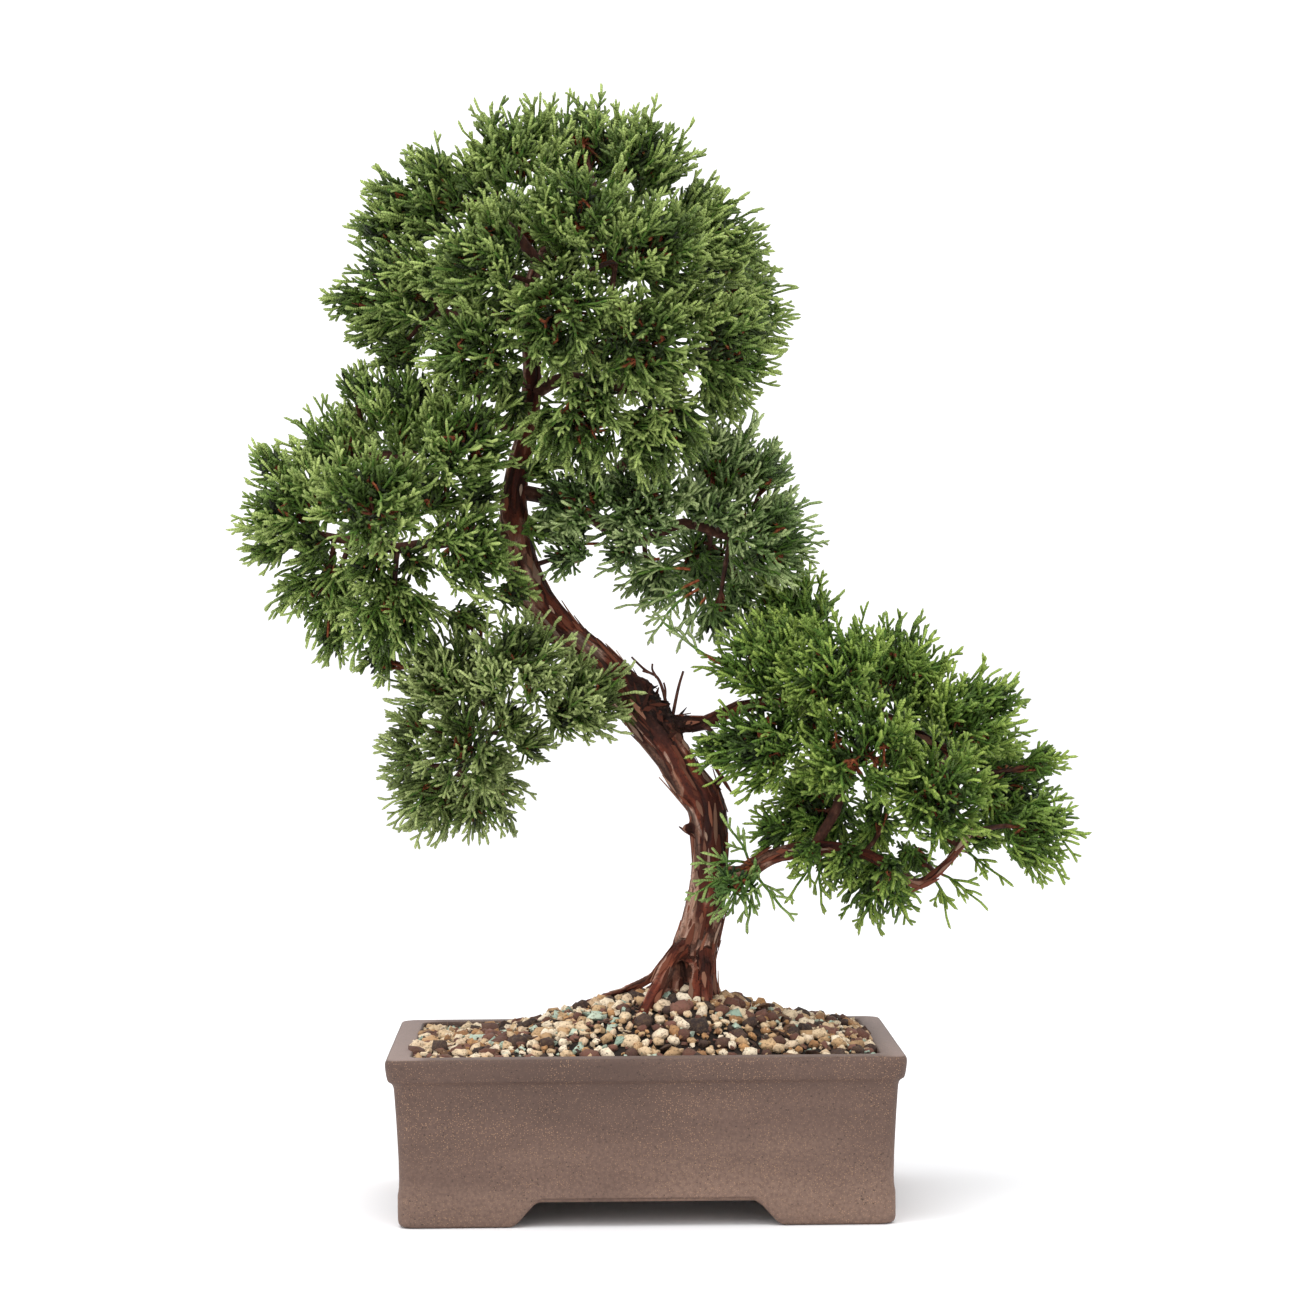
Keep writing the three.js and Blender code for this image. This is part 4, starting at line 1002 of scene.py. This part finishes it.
def gravel_tree():
    tree, given = geometry_tree(
        "gravel_growth",
        Shapes=("Collection", None),
        Kinds=("Int", PEBBLE_SHAPES),
        Spacing=("Float", 0.004),
        Crowding=("Float", 300000.0),
        Smallest=("Float", 1.2),
        Largest=("Float", 3.0),
        Seed=("Int", 1),
        Finish=("Material", None),
    )
    points = tree.store(scattered(tree, given), "kind", tree.chance(0.0, 1.0, 11))
    points = tree.store(points, "tone", tree.chance(0.0, 1.0, 12))
    turn = tree.chance((-0.5, -0.5, 0), (0.5, 0.5, 6.28), 13)
    turn = tree.node("FunctionNodeEulerToRotation", {0: turn})
    size = given["Smallest"] + (given["Largest"] - given["Smallest"]) * tree.chance(0.0, 1.0, 14) ** 2.0
    kind = tree.read("kind") * given["Kinds"]
    which = tree.node("FunctionNodeFloatToInt", {0: kind}, rounding_mode="FLOOR")
    return planted(tree, given, points, turn, size, which)


def build_gravel():
    """Slivers of bark, flat blue-green stones, dark lava and pale pumice, in that order of shapes."""
    slivers = [sliver(31, 1.6)]
    flat = [stone(41, (1.3, 1.1, 0.75), 12)]
    lava = [stone(50 + k, (1.05 + 0.1 * k, 0.95, 0.85), 10, 0.2, 1) for k in range(4)]
    pumice = [stone(60 + k, (1.1, 0.88, 0.78), 9, 0.16, 1) for k in range(PEBBLE_SHAPES - 6)]
    pebbles = shape_collection("pebble", slivers + flat + lava + pumice)
    chips = [stone(80 + k, (1.1, 0.9, 0.8), 10, 0.2) for k in range(PEBBLE_SHAPES)]
    chips = shape_collection("chip", chips)
    tree = gravel_tree()
    for name, shapes, spacing, smallest, largest, seed, lift in (
        ("coarse_gravel", pebbles, 4.4, 1.8, 4.4, 3, 0.3),
        ("fine_gravel", chips, 2.7, 0.9, 1.9, 8, 0.7),
    ):
        bed = mesh_of("bed", soil_bed(30, 20, lift), grid_faces(30, 20))
        sizes = {"Spacing": spacing * MM, "Smallest": smallest, "Largest": largest}
        mesh = grown(bed, tree, Shapes=shapes, Seed=seed, Finish=GRAVEL, **sizes)
        add_piece(name, mesh, "gravel", "soil")


# The wood

def wood_paths():
    limbs = [smoothed(LIMBS[i], 9) for i in FUSED_LIMBS]
    return [bezier(TRUNK, 110), *limbs, *map(smoothed, ROOTS)]


def fused_wood(paths):
    """The skin of tubes along the paths, of the knots and of the first spur, as one mesh."""
    parts = [tube(path, 20) for path in paths]
    for x, y, z, radius in KNOTS:
        ball = ((-1, 0.3), (-0.6, 0.8), (0, 1), (0.6, 0.8), (1, 0.3))
        parts.append(tube([(x, y, z + up * radius, wide * radius) for up, wide in ball], 12))
    parts.append(tube(bezier(SPURS[0], 8), 10))
    carrier = add_object("wood", mesh_of("wood", *gathered(parts)))
    fuse = carrier.modifiers.new("fuse", "REMESH")
    fuse.mode = "VOXEL"
    fuse.voxel_size = WOOD_VOXEL
    ease = carrier.modifiers.new("ease", "SMOOTH")
    ease.factor = 0.5
    ease.iterations = 3
    return baked(carrier)


def grain_of(places, paths):
    """How each place lies round and along its nearest path, and that path's heading there."""
    best = np.full(len(places), 1e9)
    grain = np.zeros((len(places), 3))
    heading = np.zeros((len(places), 3))
    run = 0.0
    for path in paths:
        for a, b in zip(path[:-1], path[1:]):
            step = b[:3] - a[:3]
            length = np.linalg.norm(step)
            ahead = step / length
            t = np.clip((places - a[:3]) @ step / length**2, 0, 1)
            out = places - a[:3] - t[:, None] * step
            score = np.linalg.norm(out, axis=1) - (a[3] + (b[3] - a[3]) * t)
            closer = score < best
            best[closer] = score[closer]
            side = unit(np.cross(ahead, (0.3, 1, 0.1)))
            angle = np.arctan2(out @ np.cross(ahead, side), out @ side)
            radius = max(a[3], 2.0)
            turned = np.stack([np.cos(angle) * radius, run + t * length, np.sin(angle) * radius], 1)
            grain[closer] = turned[closer]
            heading[closer] = ahead
            run += length
    return grain, heading


def near(places, middle, reach, edge):
    """1 in the middle of a marked place, and 0 from edge times its reach."""
    return np.clip(edge - np.linalg.norm((places - np.array(middle)) / reach, axis=1), 0, 1)


def relief(places, grain, burl):
    """How far the bark rises: ridges and the seams of plates along the grain, lumps on the burl."""
    lift = np.empty(len(places))
    for i, (u, v, w) in enumerate(grain * (0.09, 0.022, 0.09)):
        ridges = noise.noise(Vector((u * 1.3, v, w * 1.3)))
        fine = noise.noise(Vector((u * 4.2, v * 2.4 + 7, w * 4.2)))
        plates = abs(noise.noise(Vector((u * 2.4, v * 1.6 + 31, w * 2.4))))
        crust = noise.noise(Vector(places[i] * 0.33)) + 0.5 * noise.noise(Vector(places[i] * 0.8))
        lift[i] = 1.1 * ridges + 0.45 * fine - 0.7 * max(0.0, 0.12 - plates) / 0.12 + burl[i] * 2.3 * crust
    thin = np.clip((places[:, 2] - 230) / 120, 0, 0.6)
    return lift * (1 - thin) - 0.2


def build_trunk():
    paths = wood_paths()
    mesh = fused_wood(paths)
    places, normals = np.empty((2, 3 * len(mesh.vertices)))
    mesh.vertices.foreach_get("co", places)
    mesh.vertices.foreach_get("normal", normals)
    places = places.reshape(-1, 3) / MM - SHIFT
    grain, heading = grain_of(places, paths)
    burl = near(places, *BURL)
    # The crust keeps to the upper right of the burl
    burl *= np.clip((places[:, 0] * 0.75 + (places[:, 2] - 224) * 0.6 + 5) / 6, 0, 1)
    moss = near(places, *MOSS)
    lift = relief(places, grain, burl) - near(places, *HOLLOW) * HOLLOW_DEPTH
    places += normals.reshape(-1, 3) * lift[:, None]
    bare = (1 - burl) * np.clip((360 - places[:, 2]) / 60, 0, 1) * np.clip((places[:, 2] - 84) / 12, 0, 1)
    mesh.vertices.foreach_set("co", ((places + SHIFT) * MM).ravel())
    mark(mesh, grain=grain * MM, heading=heading, burl=burl, moss=moss, bare=bare)
    mesh.materials.clear()
    mesh.materials.append(BARK)
    mesh.polygons.foreach_set("use_smooth", [True] * len(mesh.polygons))
    mesh.update()
    add_piece("trunk_and_roots", mesh, "bark", "trunk")
    build_flakes(mesh)


def flake(seed, length, width, curl):
    """A plate of bark that lies on z with its length along y, one end curling up."""
    scatter = np.random.default_rng(seed)
    top = []
    for i, share in enumerate((0.15, 0.75, 1.0, 0.7, 0.2)):
        y = length * (i / 2 - 1) + scatter.uniform(-0.08, 0.08) * length
        half = width * share * scatter.uniform(0.8, 1.15)
        lift = curl * (i / 4) ** 2
        top += [(x, y, 0.34 + lift - x * x / 16) for x in (-half, 0.1 * half, half)]
    points = top + [(x, y, z - 0.42) for x, y, z in top]
    below = len(top)
    faces = []
    for a in (0, 1, 3, 4, 6, 7, 9, 10):
        b = a + 3
        faces += [(a, a + 1, b + 1, b), (a + below + 1, a + below, b + below, b + below + 1)]
    rim = [0, 3, 6, 9, 12, 13, 14, 11, 8, 5, 2, 1]
    faces += [(a, b, b + below, a + below) for a, b in zip(rim, rim[1:] + rim[:1])]
    return shape_of("flake", points, faces, smooth=False)


def flake_tree():
    tree, given = geometry_tree(
        "flake_growth",
        Shapes=("Collection", None),
        Spacing=("Float", 0.005),
        Crowding=("Float", 90000.0),
        Smallest=("Float", 0.6),
        Largest=("Float", 1.3),
        Where=("String", "bare"),
        Wander=("Float", 0.2),
        Dark=("Float", 0.0),
        Pale=("Float", 1.0),
        Seed=("Int", 1),
        Finish=("Material", None),
    )
    points = scattered(tree, given, tree.read(given["Where"]))
    outward = Wire(tree, points.socket.node.outputs["Normal"])
    stray = tree.vectors("SCALE", {0: tree.chance((-1, -1, -1), (1, 1, 1), 21), "Scale": given["Wander"]})
    ahead = tree.vectors("ADD", {0: tree.read("heading", "FLOAT_VECTOR"), 1: stray})
    points = tree.store(points, "tone", tree.chance(given["Dark"], given["Pale"], 22))
    size = tree.chance(given["Smallest"], given["Largest"], 23)
    return planted(tree, given, points, tree.turn_to(outward, ahead), size)


def build_flakes(trunk):
    """Loose strips where the bark is bare, and small dark scales on the burl."""
    shapes = [
        flake(91, 8.0, 1.5, 0.4), flake(92, 5.0, 2.0, 0.8), flake(93, 10.5, 1.2, 0.7),
        flake(94, 4.0, 1.3, 0.3), flake(95, 6.5, 0.9, 1.3),
    ]
    holder = shape_collection("flake", shapes)
    tree = flake_tree()
    labels = ("Where", "Spacing", "Largest", "Wander", "Dark", "Pale", "Seed")
    for name, *values in (
        ("bark_strips", "bare", 5.4 * MM, 1.05, 0.1, 0.25, 0.98, 5),
        ("burl_crust", "burl", 2.2 * MM, 0.9, 1.4, 0.0, 0.35, 6),
    ):
        kind = dict(zip(labels, values))
        mesh = grown(trunk.copy(), tree, Shapes=holder, Smallest=0.4, Finish=FLAKES, **kind)
        add_piece(name, mesh, "bark", "trunk")


# The foliage

def cord(root, aim, length, radius, start, bow=0.0):
    """A three-sided cord of scale leaves, blunt at its tip, with how far along each corner is."""
    aim = unit(np.asarray(aim, float))
    side = unit(np.cross(aim, (0.31, 0.9, 0.2)))
    across = np.cross(aim, side)
    stations = [(0, 0.78, start * 0.4), (0.5, 0.95, 0.5), (0.88, 1.04, 0.82)]
    if not bow:
        del stations[1]
    points, alongs = [], []
    for share, width, value in stations:
        middle = root + aim * length * share + np.array([0, bow * 4 * share * (1 - share), 0])
        for k in range(3):
            angle = 2 * math.pi * k / 3
            points.append(middle + radius * width * (side * math.cos(angle) + across * math.sin(angle)))
            alongs.append(value)
    points.append(root + aim * length)
    alongs.append(1.0)
    tip = len(points) - 1
    faces = [(0, 2, 1), *ring_faces(len(stations), 3)]
    faces += [(tip - 3 + k, tip - 3 + (k + 1) % 3, tip) for k in range(3)]
    return points, faces, alongs


def shoot_shape(forks):
    """A shoot that stands on z, bowed a little, forking to either side in the plane of x."""
    cords = [cord(np.zeros(3), (0, 0, 1), SHOOT_LENGTH, CORD_RADIUS, 0.0, SHOOT_BOW)]
    for share, side, length in forks:
        root = np.array([0, SHOOT_BOW * 4 * share * (1 - share), SHOOT_LENGTH * share])
        aim = (side * 0.5, 0.14, 0.86)
        cords.append(cord(root, aim, SHOOT_LENGTH * length, CORD_RADIUS * 0.96, share))
    mesh = shape_of("shoot", *gathered(one[:2] for one in cords))
    mark(mesh, along=np.concatenate([one[2] for one in cords]))
    return mesh


class Growth:
    """What grows in one piece of foliage: shoots to be repeated, and the stems that carry them."""

    def __init__(self):
        self.shoots = []
        self.stems = []

    def add_shoot(self, root, aim, face, length, tone):
        aim = unit(aim)
        width = rng.uniform(0.9, 1.15)
        size = (width, width, length / SHOOT_LENGTH)
        which = min(int(rng.beta(1.4, 1.7) * len(FORKS)), len(FORKS) - 1)
        # How far out of the tufts the shoot stands, kept as "open" for the painted shade of the leaves
        # deep inside
        outward = depths(root + aim * length * 0.5).min()
        self.shoots.append((root, aim, face, size, which, tone + rng.uniform(-0.15, 0.15), outward))

    def add_stem(self, points, thick, thin, old, young):
        count = len(points)
        self.stems.append((points, np.linspace(thick, thin, count), np.linspace(old, young, count)))


def rand_unit():
    return unit(rng.normal(size=3))


def add_plume(growth, origin, root, tip, facing, tone):
    """A twig that turns into a flat plume: forked shoots on alternate sides that end near its tip."""
    reach = np.linalg.norm(tip - root)
    axis = bezier([origin, (origin + root) / 2 + rand_unit() * 1.2, root, tip], 4)
    growth.add_stem(axis, 0.8, 0.7, 1.0, -0.6)
    heading = unit(tip - root)
    normal = facing + 0.8 * rand_unit()
    normal = unit(normal - heading * normal.dot(heading))
    flat = np.cross(heading, normal)
    count = max(3, int(reach / SHOOT_PITCH))
    side = rng.choice([-1, 1])
    for k in range(count):
        t = min(max((k + rng.uniform(-0.25, 0.25)) / count, 0.0), 0.96)
        share = 2 + t * 2
        low = min(int(share), 3)
        place = axis[low] + (axis[low + 1] - axis[low]) * (share - low)
        lean = math.radians(rng.uniform(*SHOOT_LEAN))
        aim = heading * math.cos(lean) + side * flat * math.sin(lean)
        aim = aim + normal * rng.uniform(-0.12, 0.25)
        length = (7.5 + 6.5 * (1 - t)) * rng.uniform(0.75, 1.2)
        growth.add_shoot(place, aim, normal, length, tone)
        side = -side
    growth.add_shoot(tip, heading + 0.1 * rand_unit(), normal, rng.uniform(8.5, 13), tone)


# Places along the wood that can carry twigs, and the middles and radii of all tufts and sprigs
CARRIERS = np.vstack([smoothed(path) for path in [*LIMBS, TRUNK[10:]]])
PADS = {pad: tufts + SPRIGS.get(pad, []) for pad, tufts in TUFTS.items()}
MIDDLES = np.array([tuft for tufts in PADS.values() for tuft in tufts], float)


def depths(place):
    """How far a place is from the middle of every tuft, as shares of their radii."""
    return np.linalg.norm(MIDDLES[:, :3] - place, axis=1) / MIDDLES[:, 3]


def add_twigs(growth, own):
    """A twig from the nearest limb to a tuft and its forks. Gives the twig's heading and the forks."""
    centre, radius = MIDDLES[own, :3], MIDDLES[own, 3]
    gaps = np.linalg.norm(CARRIERS[:, :3] - centre, axis=1)
    gaps[gaps < 6] += 20
    start = CARRIERS[int(np.argmin(gaps)), :3]
    inward = unit(centre - start)
    bend = (start + centre) / 2 + rand_unit() * 2.5
    twig = bezier([start, bend, centre + inward * radius * 0.1], 6)
    growth.add_stem(twig, 1.6, 0.9, 1.8, 1.3)
    forks = []
    count = int(3 + radius / 7)
    for k in range(count):
        height = 1 - 2 * (k + 0.5) / count
        turn = k * FORK_TURN + own
        flat = math.sqrt(1 - height * height)
        radial = np.array([flat * math.cos(turn), flat * math.sin(turn), height])
        radial = unit(radial + 0.35 * rand_unit())
        fork = centre + radial * radius * rng.uniform(0.2, 0.4)
        origin = twig[rng.integers(3, 6)]
        elbow = (origin + fork) / 2 + rand_unit() * 1.5
        growth.add_stem(bezier([origin, elbow, fork], 3), 0.95, 0.75, 1.5, 0.9)
        forks.append(fork)
    return inward, forks


def add_tuft(growth, own, pad_middle, plumes):
    """Twigs, and plumes all through the tuft, which lean out of the pad and stop short of its radius."""
    centre, radius = MIDDLES[own, :3], MIDDLES[own, 3]
    inward, forks = add_twigs(growth, own)
    lift = np.array([0, 0, 0.3])
    main = unit((centre - pad_middle) / PAD_REACH + inward * 0.35 + lift)
    for _ in range(int(plumes * radius * radius)):
        offset = rand_unit() * rng.uniform(0, 1) ** 0.4 * (radius - 7)
        offset -= main * (offset.dot(main) * 0.3 + 2)
        place = centre + offset
        others = depths(place)
        others[own] = 9
        if others.min() < HEART:
            continue
        flow = (place - pad_middle) / PAD_REACH + inward * 0.35 + lift + offset / radius * 0.9
        aim = unit(unit(flow) + rand_unit() * rng.uniform(0.2, 0.8))
        tip = place + aim * rng.uniform(3.5, 8)
        root = place - aim * rng.uniform(3.5, 7)
        reach = np.linalg.norm(tip - centre)
        limit = max(radius - rng.uniform(5, 10), 3)
        if reach > limit:
            tip = centre + (tip - centre) * limit / reach
        if np.linalg.norm(tip - root) < 4:
            continue
        fork = min(forks, key=lambda one: np.linalg.norm(one - root))
        add_plume(growth, fork, root, tip, unit(tip - centre), rng.uniform(0.0, 1.0))


def shoots_tree():
    tree, given = geometry_tree(
        "shoot_growth", Shapes=("Collection", None), Girth=("Float", 1.0), Finish=("Material", None)
    )
    aim, face, size = (tree.read(name, "FLOAT_VECTOR") for name in ("aim", "face", "size"))
    girth = tree.node("ShaderNodeCombineXYZ", {0: given["Girth"], 1: given["Girth"], 2: 1.0})
    size = tree.vectors("MULTIPLY", {0: size, 1: girth})
    which = tree.read("which", "INT")
    return planted(tree, given, given["Geometry"], tree.turn_to(aim, face), size, which)


def stems_tree():
    tree, given = geometry_tree(
        "stem_growth", Sides=("Int", 3), Girth=("Float", 1.0), Finish=("Material", None)
    )
    lines = tree.node("GeometryNodeMeshToCurve", {"Mesh": given["Geometry"]})
    outline = tree.node("GeometryNodeCurvePrimitiveCircle", {"Resolution": given["Sides"], "Radius": MM})
    girth = tree.read("girth") * given["Girth"]
    values = {"Curve": lines, "Profile Curve": outline, "Scale": girth, "Fill Caps": True}
    stems = tree.node("GeometryNodeCurveToMesh", values)
    return closed(tree, given, tree.node("GeometryNodeSetShadeSmooth", {"Geometry": stems}))


def stem_lines(stems):
    """Stems as a mesh of lines with their girth and age."""
    points, edges = [], []
    for places, _, _ in stems:
        start = len(points)
        points.extend(places)
        edges.extend((start + k, start + k + 1) for k in range(len(places) - 1))
    mesh = mesh_of("stems", points, edges=edges)
    _, girths, ages = zip(*stems)
    mark(mesh, girth=np.concatenate(girths), age=np.concatenate(ages))
    return mesh


def shoot_points(shoots):
    """Shoots as loose points, each with what its instance needs."""
    roots, aims, faces, sizes, kinds, tones, outwards = map(np.array, zip(*shoots))
    mesh = mesh_of("shoots", roots)
    mark(mesh, aim=aims, face=faces, size=sizes, which=kinds, tone=tones, open=outwards)
    return mesh


def build_limbs(stem_growth):
    """The limbs that aren't fused with the trunk, wandering a little, and the thin dead twigs."""
    limbs = []
    for path in [path for i, path in enumerate(LIMBS) if i not in FUSED_LIMBS] + SPURS[1:]:
        curve = smoothed(path)
        wander = np.array([noise.noise_vector(Vector(place[:3]) * 0.05) for place in curve]) * 1.6
        wander[0] = 0
        limbs.append((curve[:, :3] + wander, curve[:, 3], np.full(len(curve), 2.0)))
    mesh = grown(stem_lines(limbs), stem_growth, Sides=10, Finish=STEM)
    add_piece("upper_limbs", mesh, "bark", "trunk")


def build_foliage():
    shapes = shape_collection("shoot", [shoot_shape(forks) for forks in FORKS])
    shoot_growth = shoots_tree()
    stem_growth = stems_tree()
    first = 0
    for pad, tufts in TUFTS.items():
        pad_middle = np.mean(np.array(tufts, float)[:, :3], axis=0)
        groups = math.ceil(len(tufts) / PIECE_TUFTS)
        for group, members in enumerate(np.array_split(np.arange(len(tufts)), groups)):
            growth = Growth()
            sprigs = range(len(tufts) + group, len(PADS[pad]), groups)
            for member in [*members, *sprigs]:
                add_tuft(growth, first + int(member), pad_middle, SPARSE.get(pad, PLUMES))
            for origin, root, tip in np.array(LOOSE.get(pad, []), float)[group::groups]:
                add_plume(growth, origin, root, tip, np.array([0, -1, 0.4]), 0.6)
            suffix = "" if groups == 1 else f"_{group + 1}"
            nodes = [f"{pad}_tuft_{member + 1:02d}" for member in members]
            shoots = grown(shoot_points(growth.shoots), shoot_growth, Shapes=shapes, Finish=LEAF[pad])
            stems = grown(stem_lines(growth.stems), stem_growth, Finish=STEM)
            for part, mesh in {"shoots": shoots, "stems": stems}.items():
                add_piece(f"{pad}_{part}{suffix}", mesh, f"foliage_{pad}", *nodes)
        first += len(PADS[pad])
    build_limbs(stem_growth)


set_camera()
set_stage()
build_pot()
build_earth()
build_gravel()
build_trunk()
build_foliage()
for node in ("drain_screen_left", "drain_screen_right"):
    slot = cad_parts[node].material_slots[0]
    slot.link = "OBJECT"
    slot.material = SCREEN
